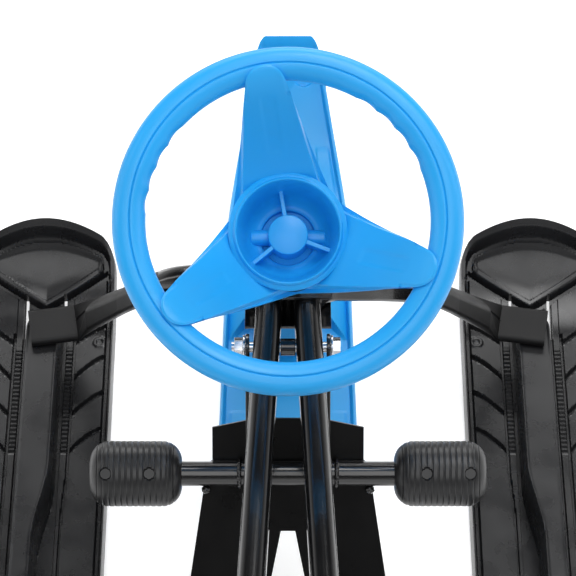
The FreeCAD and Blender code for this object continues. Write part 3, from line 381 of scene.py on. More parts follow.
def wheel_rim():
    """Two-shell rim: flatter outer shell, round inner shell with finger hollows, a seam between them."""
    seam, seam_width, seam_depth = math.radians(94), 0.05, 1.1 * MM
    turns = full_turn(60)
    near_seam = np.concatenate([np.linspace(-0.16, 0.16, 13) + s for s in (seam, 2 * math.pi - seam)])
    turns = merged([turns, near_seam], 4)
    segments = 480
    angles = full_turn(segments)
    outer_shell_power = 2 / 2.6
    cosine, sine = np.cos(turns)[:, None], np.sin(turns)[:, None]
    power = np.where(cosine > 0, outer_shell_power, 1.0)
    across = np.sign(cosine) * np.abs(cosine) ** power
    height = np.sign(sine) * np.abs(sine) ** power
    groove = sum(np.exp(-((turns[:, None] - s) / seam_width) ** 2) for s in (seam, 2 * math.pi - seam))
    reach = RIM_SECTION - seam_depth * groove
    radius = RIM_RADIUS + across * reach + 0 * angles
    level = height * reach + 0 * angles
    finger, fingers, hollow = math.radians(10), 4, 1.2 * MM
    for start in (math.radians(12), math.radians(128)):
        along = (angles - start) % (2 * math.pi)
        grip = np.where(along < fingers * finger, np.abs(np.sin(math.pi * along / finger)), 0)
        radius = radius + grip[None, :] * hollow * np.clip(-cosine, 0, 1) ** 1.5
    points = np.stack([radius * np.cos(angles), radius * np.sin(angles), level], 2)
    faces = ring_faces(len(turns), segments, wrap_rows=True)
    return mesh_object("rim", points.reshape(-1, 3), faces, BLUE, 50)


def hub():
    """Hub cup with a rolled lip, a stepped bowl and a solid middle boss. Its profile is in millimetres."""
    axis, outer, lip, lip_inner, boss = 0.01, 43.5, 39.6, 37.4, 14.9
    outside = [(axis, -64), (24, -64), (27, -58), (37, -20), (outer, -7), (outer, -3.2), (outer - 0.8, -2.4)]
    rolled_lip = [(lip + 0.7, -1.6), (lip, -0.2), (lip - 0.5, 0.6), ((lip + lip_inner) / 2, 0.9),
                  (lip_inner + 0.4, 0.5), (lip_inner, -0.3), (lip_inner - 0.5, -1.8)]
    bowl = [(34.0, -14), (31.6, -24), (28.5, -31), (24.6, -34.5), (22.8, -35.2), (21.0, -35.5), (20.4, -36),
            (19.6, -40)]
    middle_boss = [(boss + 0.6, -41), (boss, -40), (boss, -20), (boss - 0.4, -19), (boss - 1.3, -18.5),
                   (axis, -18.3)]
    points = [(r * MM, z * MM - HUB_DROP) for r, z in outside + rolled_lip + bowl + middle_boss]
    return revolve("hub_cup", points, 144, BLUE, 32)


def bezier(points, t):
    """Cubic curve through four control points."""
    a, b, c, d = [np.asarray(p, float) for p in points]
    t = np.asarray(t)[:, None]
    return (1 - t) ** 3 * a + 3 * (1 - t) ** 2 * t * b + 3 * (1 - t) * t ** 2 * c + t ** 3 * d


def spoke(index, angle):
    """A broad spoke: its face climbs from the hub to a round tongue, and its flanks sit lower."""
    ring, spread_angle = 42.0, math.radians(72)
    tip_centre, tip_radius, face_root = 96.6, 14.7, 26.0
    turn = np.linspace(-math.pi / 2, math.pi / 2, 61)
    root_turn = turn * spread_angle * 2 / math.pi
    root = np.stack([ring * np.cos(root_turn), ring * np.sin(root_turn)], 1)
    end = np.stack([tip_centre + tip_radius * np.cos(turn), tip_radius * np.sin(turn)], 1)
    steps = np.concatenate([np.linspace(0, 0.8, 34), 0.8 + 0.2 * np.sin(np.linspace(0, math.pi / 2, 16))[1:]])
    plan = root[None] * (1 - steps)[:, None, None] + end[None] * steps[:, None, None]
    out, aside = plan[..., 0], plan[..., 1]
    # height of the face along the spoke, from the hub's wall to the rim
    root_level, rim_level, inner_slope = -52.9, 14.9, 0.75
    line = bezier([(ring, root_level), (64, -38), (95, 14.6), (111.5, rim_level)], np.linspace(0, 1, 60))
    level = np.interp(out, line[:, 0], line[:, 1])
    level = np.where(out < ring, line[0, 1] - (ring - out) * inner_slope, level)
    # lower flanks beside the face, which widens towards the hub
    flank_drop, flank_width = 6.0, 2.2
    to_root = np.clip((tip_centre - out) / (tip_centre - ring), 0, 1.3)
    face_half = tip_radius + 0.6 + (face_root - tip_radius) * to_root
    flank = smooth_step(np.abs(aside) - face_half, 0.0, flank_width)
    away_from_tip = smooth_step(tip_centre - out, -2, 30)
    # rolled edge round the tongue, and a shallow sunk pill along the middle
    roll_drop, pill_drop, pill_from, pill_to = 0.9, 0.7, 58, 88
    to_edge = np.minimum(tip_radius - np.hypot(np.clip(out - tip_centre, 0, None), aside), 5)
    roll = roll_drop * (1 - smooth_step(to_edge, 0.0, 2.0)) * (out > tip_centre - 6)
    pill = band(out, pill_from, pill_to, 3) * (1 - smooth_step(np.abs(aside), 4.4, 6.4))
    level = level - flank_drop * flank * away_from_tip - roll - pill_drop * pill
    wall, tip_extra = 4.0, 3.0
    deep = wall + tip_extra * (1 - away_from_tip)
    top = np.stack([out, aside, level], 2)
    bottom = np.stack([out, aside, level - deep], 2)
    rows, count = out.shape
    loop = np.concatenate([top, bottom[:, ::-1]], 1)
    faces = ring_faces(rows, 2 * count).tolist()
    for row in (0, rows - 1):
        first = row * 2 * count
        faces += [[first + k, first + k + 1, first + 2 * count - 2 - k, first + 2 * count - 1 - k]
                  for k in range(count - 1)]
    obj = mesh_object(f"spoke_{index}", loop.reshape(-1, 3) * MM, faces, BLUE, 28)
    return apply_place(obj, Matrix.Rotation(angle, 4, "Z"))


def rounded_block(name, size, centre, bevel, material):
    """A box with rounded edges."""
    edit = bmesh.new()
    bmesh.ops.create_cube(edit, size=1)
    bmesh.ops.scale(edit, vec=Vector(size), verts=edit.verts)
    bmesh.ops.bevel(edit, geom=list(edit.edges), offset=bevel, segments=3, profile=0.6, affect="EDGES")
    bmesh.ops.translate(edit, vec=Vector(centre), verts=edit.verts)
    mesh = bpy.data.meshes.new(name)
    edit.to_mesh(mesh)
    edit.free()
    obj = add_object(name, mesh)
    mesh.materials.append(material)
    mesh.shade_smooth()
    return obj


def rounded_cylinder_profile(radius, length, rounding, steps=6):
    """Half outline of a cylinder with rounded rims, starting and ending close to its axis."""
    arc = np.linspace(0, math.pi / 2, steps)
    inner, end = radius - rounding, length / 2
    low = [(inner + rounding * math.sin(a), -end + rounding * (1 - math.cos(a))) for a in arc]
    high = [(r, -z) for r, z in reversed(low)]
    axis = 1e-5
    return [(axis, -end)] + low + high + [(axis, end)]


def wheel_spider():
    """The hub, three spokes, a rib under each spoke in the cup, and the housing of the cross bolt."""
    rib_size, rib_place = (20.5 * MM, 3.2 * MM, 26 * MM), (23.4 * MM, 0, -HUB_DROP - 32.6 * MM)
    boss_out, boss_level = 20 * MM, -HUB_DROP - 36 * MM
    parts = [hub()]
    for index, angle in enumerate(SPOKE_ANGLES):
        parts.append(spoke(index, angle))
        rib = rounded_block(f"hub_rib_{index}", rib_size, rib_place, 0.7 * MM, BLUE)
        parts.append(apply_place(rib, Matrix.Rotation(angle, 4, "Z")))
    for side, _ in SIDES:
        profile = rounded_cylinder_profile(6.0 * MM, 16 * MM, 1.5 * MM)
        boss = revolve(f"cross_boss_{side}", profile, 40, BLUE)
        lie_across = Matrix.Rotation(math.pi / 2, 4, "Y")
        apply_place(boss, Matrix.Translation((side * boss_out, 0, boss_level)) @ lie_across)
        apply_place(boss, Matrix.Rotation(-WHEEL_TURN, 4, "Z"))
        parts.append(boss)
    return join("wheel_spider", parts)


rim = apply_place(wheel_rim(), WHEEL)
settle(rim, "steering", "blue_moulding", "steering_wheel_rim")
spider = apply_place(wheel_spider(), WHEEL)
settle(spider, "steering", "blue_moulding", "steering_wheel_spider")


# ---- skis
def rise(y, bend, tip, height):
    """Lift of a sole that leaves the ground at bend and climbs on an arc to height at the tip."""
    run = tip - bend
    radius = (run * run + height * height) / (2 * height)
    beyond = np.clip((y - bend) * np.sign(run), 0, abs(run))
    return radius - np.sqrt(radius * radius - beyond * beyond)


def ski_solid(name, xs, ys, top, bottom, material, holes=None, crease=30):
    """A closed solid over a grid of plan points, between a top and a bottom height, less the hole cells."""
    rows, columns = xs.shape
    count = rows * columns
    points = np.concatenate([np.stack([xs, ys, level], 2).reshape(-1, 3) for level in (top, bottom)])
    keep = np.ones((rows - 1, columns - 1), bool) if holes is None else ~holes
    i, j = np.nonzero(keep)
    corner = i * columns + j
    upper = np.stack([corner, corner + 1, corner + columns + 1, corner + columns], 1)
    lower = upper[:, ::-1] + count
    padded = np.zeros((rows + 1, columns + 1), bool)
    padded[1:-1, 1:-1] = keep
    walls = []
    # each neighbour of a cell, and the two corners of the cell that the wall towards it stands on
    neighbours = ((-1, 0, 0, 1), (1, 0, columns + 1, columns), (0, -1, columns, 0), (0, 1, 1, columns + 1))
    for di, dj, a, b in neighbours:
        edge = ~padded[i + 1 + di, j + 1 + dj]
        start, end = corner[edge] + a, corner[edge] + b
        walls.append(np.stack([start, start + count, end + count, end], 1))
    faces = np.concatenate([upper, lower] + walls)
    mesh = bpy.data.meshes.new(name)
    mesh.from_pydata((points * MM).tolist(), [], faces.tolist())
    mesh.validate()
    obj = add_object(name, mesh)
    mesh.materials.append(material)
    edit = bmesh.new()
    edit.from_mesh(mesh)
    loose = [vertex for vertex in edit.verts if not vertex.link_faces]
    bmesh.ops.delete(edit, geom=loose, context="VERTS")
    finish_mesh(mesh, edit, crease)
    return obj


def edge_distance(x, y, half, heel, tip, bow, front_corner, heel_corner):
    """Distance inwards from a ski's outline: straight sides, a bowed front and rounded corners."""
    front = y > 0
    corner = np.where(front, front_corner, heel_corner)
    aside = np.abs(x) - (half - corner)
    from_centre = np.hypot(x, np.clip(y - (tip - bow), 0, None))
    ahead = np.where(front, from_centre - (bow - corner), (heel + corner) - y)
    outside = np.hypot(np.clip(aside, 0, None), np.clip(ahead, 0, None))
    inside = np.minimum(np.maximum(aside, ahead), 0)
    return corner - outside - inside


def outline_half(y, plan):
    """Half width of the outline at each y, found by halving the interval."""
    low, high = np.zeros_like(y), np.full_like(y, plan["half"] + 1)
    for _ in range(30):
        trial = (low + high) / 2
        within = edge_distance(trial, y, **plan) > 0
        low, high = np.where(within, trial, low), np.where(within, high, trial)
    return low


# The ski functions below work in millimetres. ski_solid turns them into metres.
SIDE = {"half": 60.0, "heel": -550.0, "tip": 352.0, "bow": 136.0, "front_corner": 14.0, "heel_corner": 30.0}
SIDE_BEND, SIDE_RISE, HEEL_RUN, HEEL_RISE = 262.0, 54.0, 70.0, 8.0
STRIP_LOW, STRIP_HIGH = 19.0, 24.4
BLOCK_START, BLOCK_ROWS, BLOCK_PITCH, BLOCK_FIRST = 26.4, 4, 38.0, 144.5


def tread(height, away, margin, y):
    """Curved grooves that part the panel into tread blocks, the front one flatter."""
    depth, half_width, front_share = 4.0, 1.7, 0.72
    for row in range(BLOCK_ROWS):
        sweep = np.sin(np.clip((away - BLOCK_START) / 32.0, 0, 1) * math.pi / 2)
        curve = 24.0 * sweep * (front_share if row == BLOCK_ROWS - 1 else 1)
        from_line = y - (BLOCK_FIRST + BLOCK_PITCH * row) - curve
        groove = band(from_line, -half_width, half_width, 1.1)
        groove = groove * smooth_step(away, BLOCK_START - 1, BLOCK_START + 0.6)
        height = height - depth * groove * (margin > 7.5)
    return height


def strips(height, inward, y, behind_shield):
    """A strip in a gutter on each side of the spine: laddered along the treads, plain to the rear."""
    gutter, gutter_side, strip_top, rung_depth, rung_pitch = 2.6, 26.6, 6.4, 1.5, 4.4
    away = np.abs(inward)
    ladder = band(y, BLOCK_FIRST - 0.5, 254, 1.0)
    rungs = 0.5 + 0.5 * np.sign(np.sin(2 * math.pi * y / rung_pitch))
    shift = 3.0 * (1 - smooth_step(y, 60, 140)) * (inward > 0)
    on_strip = band(away + shift, STRIP_LOW, STRIP_HIGH, 0.5)
    gap = band(away + shift, STRIP_LOW - 7.5, gutter_side, 0.5) * (1 - (away > STRIP_HIGH) * (y > 268))
    height = np.where((gap > 0.5) & behind_shield, gutter, height)
    return np.where((on_strip > 0.5) & behind_shield, strip_top - rung_depth * ladder * (1 + rungs), height)


def spine(height, inward, y, behind_shield):
    """The raised spine with drafted sides. Its front end slopes down under the shield."""
    wide, slim, ridge_height, foot, floor = 14.0, 3.5, 42.0, 6.0, 2.2
    away = np.abs(inward)
    # the side towards the sled's middle steps in to the rear
    reach = np.where(inward > 0, slim + (wide - slim) * smooth_step(y, 35, 112), wide - 1.5)
    slope = smooth_step(y, 246, 296)
    top = (ridge_height - rise(y, SIDE_BEND, SIDE["tip"], SIDE_RISE)) * (1 - slope) + foot * slope
    side_wall = 1 - smooth_step(away, reach, reach + 2.0)
    rear = SIDE["heel"] + 80
    end_wall = smooth_step(y, rear, rear + 4)
    dished = 0.5 * (1 - smooth_step(away, reach - 2.5, reach - 1.0))
    body = (top - dished) * side_wall * end_wall
    inner_floor = (away < STRIP_LOW - 0.5) & behind_shield & (y > rear)
    return np.where(inner_floor, np.maximum(floor, body), height)


def shield(height, away, margin, y, lip_width):
    """The shield over the tip, with a raised V edge, a gutter round it and a gap behind it."""
    level, edge_ridge, gutter_margin, gutter, gap = 6.2, 3.0, 11.5, 1.8, 2.4
    edge_line = 294.0 + 0.56 * away
    from_edge = (y - edge_line) * 0.87
    top = level + 1.4 * smooth_step(from_edge, 16, 0) + 1.6 * (1 - smooth_step(margin, 12.5, 15.5))
    top = top + edge_ridge * band(from_edge, -0.4, 3.0, 1.6)
    height = np.where((from_edge > -1.2) & (margin > gutter_margin), top, height)
    height = np.where((from_edge > 0) & (margin > lip_width) & (margin < gutter_margin), gutter, height)
    behind = band(from_edge, -5.8, -1.7, 0.6) * (margin > lip_width)
    return np.where(behind > 0.5, gap, height)


def side_ski_height(inward, y):
    """Height of the ski's upper face over its sole. inward is positive towards the sled's middle."""
    panel, groove_drop, rim_level, lip_rear, lip_front_drop = 7.5, 3.6, 3.9, 12.0, 3.0
    away = np.abs(inward)
    margin = edge_distance(inward, y, **SIDE)
    to_front = smooth_step(y, 270, 330)
    height = np.full_like(y, panel) - groove_drop * (1 - smooth_step(margin, 7.0, 8.6))
    lip_height = lip_rear - lip_front_drop * to_front
    lip_width = 4.4 + 2.2 * to_front
    lip = smooth_step(margin, -0.6, 1.6) * (1 - smooth_step(margin, lip_width - 1.6, lip_width))
    height = np.where(margin < lip_width, rim_level + lip_height * lip, height)
    behind_shield = (y < 300) & (margin > lip_width)
    height = tread(height, away, margin, y)
    height = strips(height, inward, y, behind_shield)
    height = spine(height, inward, y, behind_shield)
    height = shield(height, away, margin, y, lip_width)
    # small round boss on the first tread block
    from_boss = np.hypot(inward - 47.0, y - 259.0)
    return height + 0.9 * band(from_boss, 3.2, 5.2, 0.7)


def side_ski(side, word):
    """A hollow-soled side ski with its raised spine, tread, shield and lip."""
    heel, tip, heel_corner = SIDE["heel"], SIDE["tip"], SIDE["heel_corner"]
    near_edge = [-0.985, -0.955, 0.955, 0.985]
    share = merged([np.linspace(-1, 1, 151), near_edge], 4)
    # rows lie closest where the shape changes most
    ys = merged([
        heel + heel_corner * (1 - np.sin(np.linspace(0, math.pi / 2, 16))),
        np.arange(heel + heel_corner, 30, 5.0), np.arange(30, 140, 2.0), np.arange(140, 285, 1.1),
        np.arange(285, tip - 24, 0.7), tip - 25 * np.linspace(1, 0, 44) ** 2], 3)
    half = np.maximum(outline_half(ys, SIDE), 1.0)
    inward = half[:, None] * share[None, :]
    y = np.repeat(ys[:, None], len(share), 1)
    sole = rise(y, SIDE_BEND, tip, SIDE_RISE) + rise(y, heel + HEEL_RUN, heel, HEEL_RISE)
    height = side_ski_height(inward, y)
    # underside: a tunnel under the wide part of the spine and two tracking grooves
    away = np.abs(inward)
    tunnel_depth, track_depth = 33.0, 1.6
    tunnel = tunnel_depth * (1 - smooth_step(away, 6.0, 9.0)) * band(y, heel + 92, 236, 5) * (y > 118)
    tracks = track_depth * band(away, 33.0, 37.0, 1.2) * band(y, heel + 60, 250, 12)
    bottom = sole + np.maximum(tunnel, tracks)
    # two slits between the spine's foot and the strips, under the shield's point
    cell_in = np.abs(inward[:-1, :-1] + inward[1:, 1:]) / 2
    cell_y = (y[:-1, :-1] + y[1:, 1:]) / 2
    slits = (cell_in > 15.0) & (cell_in < 17.4) & (cell_y > 266) & (cell_y < 303)
    obj = ski_solid(f"side_ski_shell_{word}", inward * -side, y, sole + height, bottom, BLACK, slits)
    return apply_place(obj, Matrix.Translation((middle(f"side_ski_{word}").x, 0, 0)))


for side, word in SIDES:
    settle(side_ski(side, word), "frame", "black_moulding", f"side_ski_{word}")


FRONT = {"tail": 95.0, "knee": 385.0, "tip": 550.0, "bend": 430.0, "rise": 72.0}
TAIL_HALF, KNEE_HALF, TIP_HALF = 58.8, 53.5, 28.0
TAIL_CORNER, TIP_CORNER = 6.0, 11.0


def front_half(y):
    """Half width of the front ski: straight taper, then curved sides and rounded tip corners."""
    tail, knee, tip = FRONT["tail"], FRONT["knee"], FRONT["tip"]
    straight = TAIL_HALF + (KNEE_HALF - TAIL_HALF) * (y - tail) / (knee - tail)
    run = np.clip((y - knee) / (tip - knee), 0, 1)
    curved = KNEE_HALF - (KNEE_HALF - TIP_HALF) * (0.42 * run + 0.58 * run * run)
    width = np.where(y < knee, straight, curved)
    for end, corner in ((tail, TAIL_CORNER), (tip, TIP_CORNER)):
        into = np.clip(corner - np.abs(end - y), 0, corner)
        width = width - corner + np.sqrt(np.clip(corner * corner - into * into, 0, None))
    return width


def front_ski_height(x, y, half):
    """Height of the front ski's upper face over its sole, in millimetres."""
    panel, lip_height, edge, roll_height = 5.0, 7.0, 9.0, 2.5
    away = np.abs(x)
    margin = np.minimum(half - away, np.minimum(y - FRONT["tail"], FRONT["tip"] - y))
    lip = smooth_step(margin, -0.3, 1.0) * (1 - smooth_step(margin, 3.0, 4.6))
    height = panel + lip_height * lip
    height = np.where(margin < 1.0, np.maximum(height, edge), height)
    roll = smooth_step(y, 522, 532) * (1 - smooth_step(FRONT["tip"] - y, 2.5, 6.5))
    height = height + roll_height * roll * (margin > 0.6)
    # mount ramp: crease lines run in from the sides to the foot of the yoke
    pivot = middle("ski_pivot_bolt").y / MM
    crease_start, crease_turn = 261.0, 1.2
    crease = crease_start + (50.0 - away) * crease_turn - pivot
    ramp_height = np.clip((52.0 - away) * 0.62, 0, 18)
    rear = smooth_step(y - pivot - crease, 0, 4.0)
    front = 1 - smooth_step(y, pivot + 34, pivot + 62)
    height = np.maximum(height, panel + ramp_height * rear * front * (margin > 5))
    # embossed panels near the tail and towards the tip
    emboss, soft = 0.9, 1.2
    for centre_y, half_length in ((152.0, 34.0), (455.0, 22.0)):
        inner, outer = 34.0 * (half / TAIL_HALF), 49.0 * (half / TAIL_HALF)
        on_x = smooth_step(away, inner, inner + soft) * (1 - smooth_step(away, outer, outer + soft))
        height = height + emboss * on_x * band(y, centre_y - half_length, centre_y + half_length, soft)
    # two pockets in the tip and a swelling between them
    pocket_depth, swelling = 4.2, 1.6
    for centre in (-14.0, 14.0):
        hollow = np.hypot((x - centre) / 11.0, (y - 533.0) / 8.5)
        height = height - pocket_depth * (1 - smooth_step(hollow, 0.62, 1.0))
    return height + swelling * (1 - smooth_step(np.hypot(x / 7.0, (y - 531.0) / 9.0), 0.2, 1.0))


def front_ski_shell():
    """The tapering steering ski: a shell with a lip, a ramp to its mount and an embossed tip."""
    near_edge = [-0.99, -0.97, -0.94, 0.94, 0.97, 0.99]
    share = merged([np.linspace(-1, 1, 91), near_edge], 4)
    turn = np.linspace(0, math.pi / 2, 14)
    tip_start = FRONT["tip"] - TIP_CORNER
    tip_end = tip_start + TIP_CORNER * np.sin(turn)
    tail_end = FRONT["tail"] + TAIL_CORNER * (1 - np.sin(turn[::-1]))
    ys = merged([tail_end, np.arange(FRONT["tail"] + TAIL_CORNER, 400, 1.6), np.arange(400, 520, 3.0),
                 np.arange(520, tip_start, 0.8), tip_end], 3)
    half = front_half(ys)
    x = half[:, None] * share[None, :]
    y = np.repeat(ys[:, None], len(share), 1)
    half_grid = np.repeat(half[:, None], len(share), 1)
    sole = rise(y, FRONT["bend"], FRONT["tip"], FRONT["rise"])
    top = sole + front_ski_height(x, y, half_grid)
    tracks = 1.6 * band(np.abs(x), 26.0, 30.0, 1.2) * band(y, 130, 420, 12)
    return ski_solid("front_ski_shell", x, y, top, sole + tracks, BLUE)


def ski_tower():
    """The moulded tower and knuckle that the yoke straddles."""
    pivot = middle("ski_pivot_bolt")
    half, knuckle, chamfer, reach = 22.3 * MM, 15, 1.4, 30
    foot, foot_level, waist, waist_level = 31, 20, 17, 34
    arc = np.linspace(math.radians(-12), math.radians(192), 22)
    top = [(knuckle * math.cos(a), pivot.z / MM + knuckle * math.sin(a)) for a in arc]
    outline = [(-foot, foot_level), (foot, foot_level), (waist, waist_level)] + top + [(-waist, waist_level)]
    centre = np.mean(outline, 0)
    inside = half - chamfer * MM
    layers = []
    # the outer layers are drawn in towards the outline's middle, which chamfers the tower's edges
    for x, inset in ((-half, chamfer), (-inside, 0), (inside, 0), (half, chamfer)):
        share = 1 - inset / reach
        layers.append([(x, pivot.y + (centre[0] + (y - centre[0]) * share) * MM,
                        (centre[1] + (z - centre[1]) * share) * MM) for y, z in outline])
    points = np.array(layers).reshape(-1, 3)
    return mesh_object("ski_tower", points, capped_faces(len(layers), len(outline)), BLUE, 30)


front_ski = join("front_ski_shell", [front_ski_shell(), ski_tower()])
settle(front_ski, "front_ski", "blue_moulding", "front_ski")


# ---- foot pegs
def foot_peg(side, word):
    """Rubber barrel with fine grooves, rounded ends and two sunk screw seats."""
    low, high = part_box(f"foot_peg_{word}")
    length, radius = high[0] - low[0], (high[2] - low[2]) / 2
    rounding, grooves, depth, sharpness, plain_end = 15 * MM, 13, 0.45 * MM, 14, 6 * MM
    seat_angle, seat_radius, seat_edge, seat_depth = math.radians(90 + 36), 3.9 * MM, 4.5 * MM, 3.6 * MM
    end_steps = rounding * (1 - np.cos(np.linspace(0, math.pi / 2, 16)))
    steps = merged([np.linspace(0, length, 280), end_steps, length - end_steps], 6)
    into = np.clip(rounding - np.minimum(steps, length - steps), 0, rounding)
    outline = radius - rounding + np.sqrt(rounding ** 2 - into ** 2)
    pitch = (length - 2 * plain_end) / grooves
    phase = (steps - plain_end) / pitch
    grooved = (steps > plain_end) & (steps < length - plain_end)
    cut = np.where(grooved, np.abs(np.cos(math.pi * phase)) ** sharpness, 0)
    outline = np.maximum(outline - depth * cut, 1e-5)
    segments = 120
    angles = full_turn(segments)
    around = np.abs((angles - seat_angle + math.pi) % (2 * math.pi) - math.pi) * radius
    reach = np.repeat(outline[:, None], segments, 1)
    for screw in (105, 138):
        place = screw * MM - low[0] if side > 0 else -screw * MM - low[0]
        away = np.hypot(steps[:, None] - place, around[None, :])
        reach = reach - seat_depth * (1 - smooth_step(away, seat_radius, seat_edge))
    points = np.stack([np.repeat(steps[:, None] + low[0], segments, 1),
                       middle("foot_bar").y + reach * np.cos(angles),
                       middle("foot_bar").z + reach * np.sin(angles)], 2).reshape(-1, 3)
    return mesh_object(f"peg_{word}", points, capped_faces(len(steps), segments), RUBBER, 50)


for side, word in SIDES:
    settle(foot_peg(side, word), "brake", "peg_rubber", f"foot_peg_{word}")


# ---- springs
def spring(side):
    """Extension spring from the rail lug to the foot bar: a hook, close turns and a loop round the bar."""
    x = side * 25 * MM
    low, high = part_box("spring_lugs")
    lug = Vector((x, (low[1] + high[1]) / 2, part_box("brake_springs")[1][2] + 2.5 * MM))
    bar = Vector((x, middle("foot_bar").y, middle("foot_bar").z))
    way = (bar - lug).normalized()
    square = way.cross(ACROSS).normalized()
    span = (bar - lug).length
    wire, coil, hook, hook_radius, bar_reach = 0.75 * MM, 4.6 * MM, 12 * MM, 4.2 * MM, 9.5 * MM
    start, end = hook, span - bar_reach - 7 * MM
    turns, turn_points = int((end - start) / (2.15 * wire)), 16
    hook_middle = lug + way * (hook * 0.5)
    path = [hook_middle + square * (-hook_radius * math.cos(a)) - way * (hook_radius * math.sin(a))
            for a in np.linspace(-0.3 * math.pi, math.pi, 14)]
    for k, a in enumerate(np.linspace(0, 2 * math.pi * turns, turns * turn_points)):
        along = start + (end - start) * k / (turns * turn_points - 1)
        path.append(lug + way * along + (square * math.cos(a) + ACROSS * math.sin(a)) * coil)
    path += [bar + (square * math.cos(a) - way * math.sin(a)) * (bar_reach + wire)
             for a in np.linspace(0.18 * math.pi, 1.72 * math.pi, 26)]
    return tube(f"spring_{side}", [tuple(p) for p in path], wire, ZINC, 8), lug, bar


springs = []
for side, _ in SIDES:
    obj, lug, bar = spring(side)
    springs.append(obj)
spring_pair = join("brake_spring_pair", springs)
spring_pair.data.shade_smooth()
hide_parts("brake_springs")
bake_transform(spring_pair)


# ---- welds
def weld_bead(name, points, radius, body, closed=False):
    """A rippled weld run along a line of points, with tapered ends unless closed."""
    step, ripple_pitch, taper = 0.5 * MM, 2.4 * MM, 2 * MM
    points = [Vector(p) for p in points]
    if closed:
        points.append(points[0])
    dense = []
    for a, b in zip(points, points[1:]):
        count = max(2, int((b - a).length / step))
        dense += [a + (b - a) * k / count for k in range(count)]
    if not closed:
        dense.append(points[-1])
    spacing = np.arange(len(dense)) * step
    scales = np.abs(np.sin(math.pi * spacing / ripple_pitch))
    ripple = 1 + 0.16 * scales + 0.05 * rng.standard_normal(len(dense))
    if not closed:
        ripple *= np.minimum(1, 0.35 + np.minimum(spacing, spacing[-1] - spacing) / taper)
    obj = tube(name, [tuple(p) for p in dense], radius * ripple, PAINT, 8, closed=closed, crease=80)
    return settle(obj, body, "frame_paint")


def circle(centre, first, second, radius, count=48):
    """Points round a centre, in the plane of two directions."""
    return [centre + first * radius * math.cos(a) + second * radius * math.sin(a)
            for a in full_turn(count)]


bar_middle = middle("foot_bar")
bar_radius = (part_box("foot_bar")[1][2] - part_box("foot_bar")[0][2]) / 2
BRAKE_SLOPE = math.radians(50)
plate_down = Vector((0, -math.cos(BRAKE_SLOPE), -math.sin(BRAKE_SLOPE)))
plate_out = Vector((0, math.sin(BRAKE_SLOPE), -math.cos(BRAKE_SLOPE)))
STRAP_MIDDLE, PLATE_RUN, PLATE_CORNER = 32 * MM, (38 * MM, 60 * MM), 61 * MM

# foot bar: two runs along the plate, a ring on each side of each strap, a lump at each corner of the plate
for side, _ in SIDES:
    inner, outer = (Vector((side * x, 0, 0)) + bar_middle for x in PLATE_RUN)
    for number, way in enumerate((plate_down, -plate_down)):
        offset = plate_out * (bar_radius * 0.72) + way * (bar_radius * 0.72)
        weld_bead(f"plate_weld_{number}_{side}", [inner + offset, outer + offset], 1.9 * MM, "brake")
    for shift in (-2.1 * MM, 5.1 * MM):
        centre = Vector((side * STRAP_MIDDLE + side * shift, bar_middle.y, bar_middle.z))
        ring = circle(centre, Vector((0, 1, 0)), Vector((0, 0, 1)), bar_radius + 0.6 * MM)
        weld_bead(f"strap_weld_{side}_{shift > 0}", ring, 1.6 * MM, "brake", closed=True)
    lump = bar_middle + Vector((side * PLATE_CORNER, 0, 0)) + plate_down * 9.5 * MM
    lump_end = lump + Vector((side * 3 * MM, 0, 0)) + plate_down * 6 * MM
    weld_bead(f"corner_weld_{side}", [lump, lump_end], 3.2 * MM, "brake")

# head tube: a ring above and one below the gussets, level with them
for level, lift, word in ((249.5 * MM, 2.2, "upper"), (214.5 * MM, -2.2, "lower")):
    centre = HEAD + AXIS * ((level - HEAD.z) / AXIS.z)
    ring = circle(centre, ACROSS, Vector((0, 1 / AXIS.z, 0)), 19.4 * MM)
    along_axis = Vector((0, AXIS.y / AXIS.z * lift * MM, 0))
    lifted = [point + Vector((0, 0, lift * MM)) + along_axis for point in ring]
    weld_bead(f"head_weld_{word}", lifted, 1.8 * MM, "frame", closed=True)

# gussets and spring lugs: straight runs along the rails
GUSSET_EDGE, GUSSET_LEVEL, LUG_EDGE, LUG_LEVEL = 30.5, 248.4 * MM, 23.5, 215.6 * MM
gusset_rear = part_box("head_gussets")[0][1]
for side, _ in SIDES:
    x = side * GUSSET_EDGE * MM
    run = [(x, gusset_rear + 3 * MM, GUSSET_LEVEL), (x, gusset_rear + 26 * MM, GUSSET_LEVEL)]
    weld_bead(f"gusset_weld_{side}", run, 1.5 * MM, "frame")
lug_low, lug_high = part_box("spring_lugs")
for side, _ in SIDES:
    x = side * LUG_EDGE * MM
    run = [(x, lug_low[1], LUG_LEVEL), (x, lug_high[1], LUG_LEVEL)]
    weld_bead(f"lug_weld_{side}", run, 1.2 * MM, "frame")


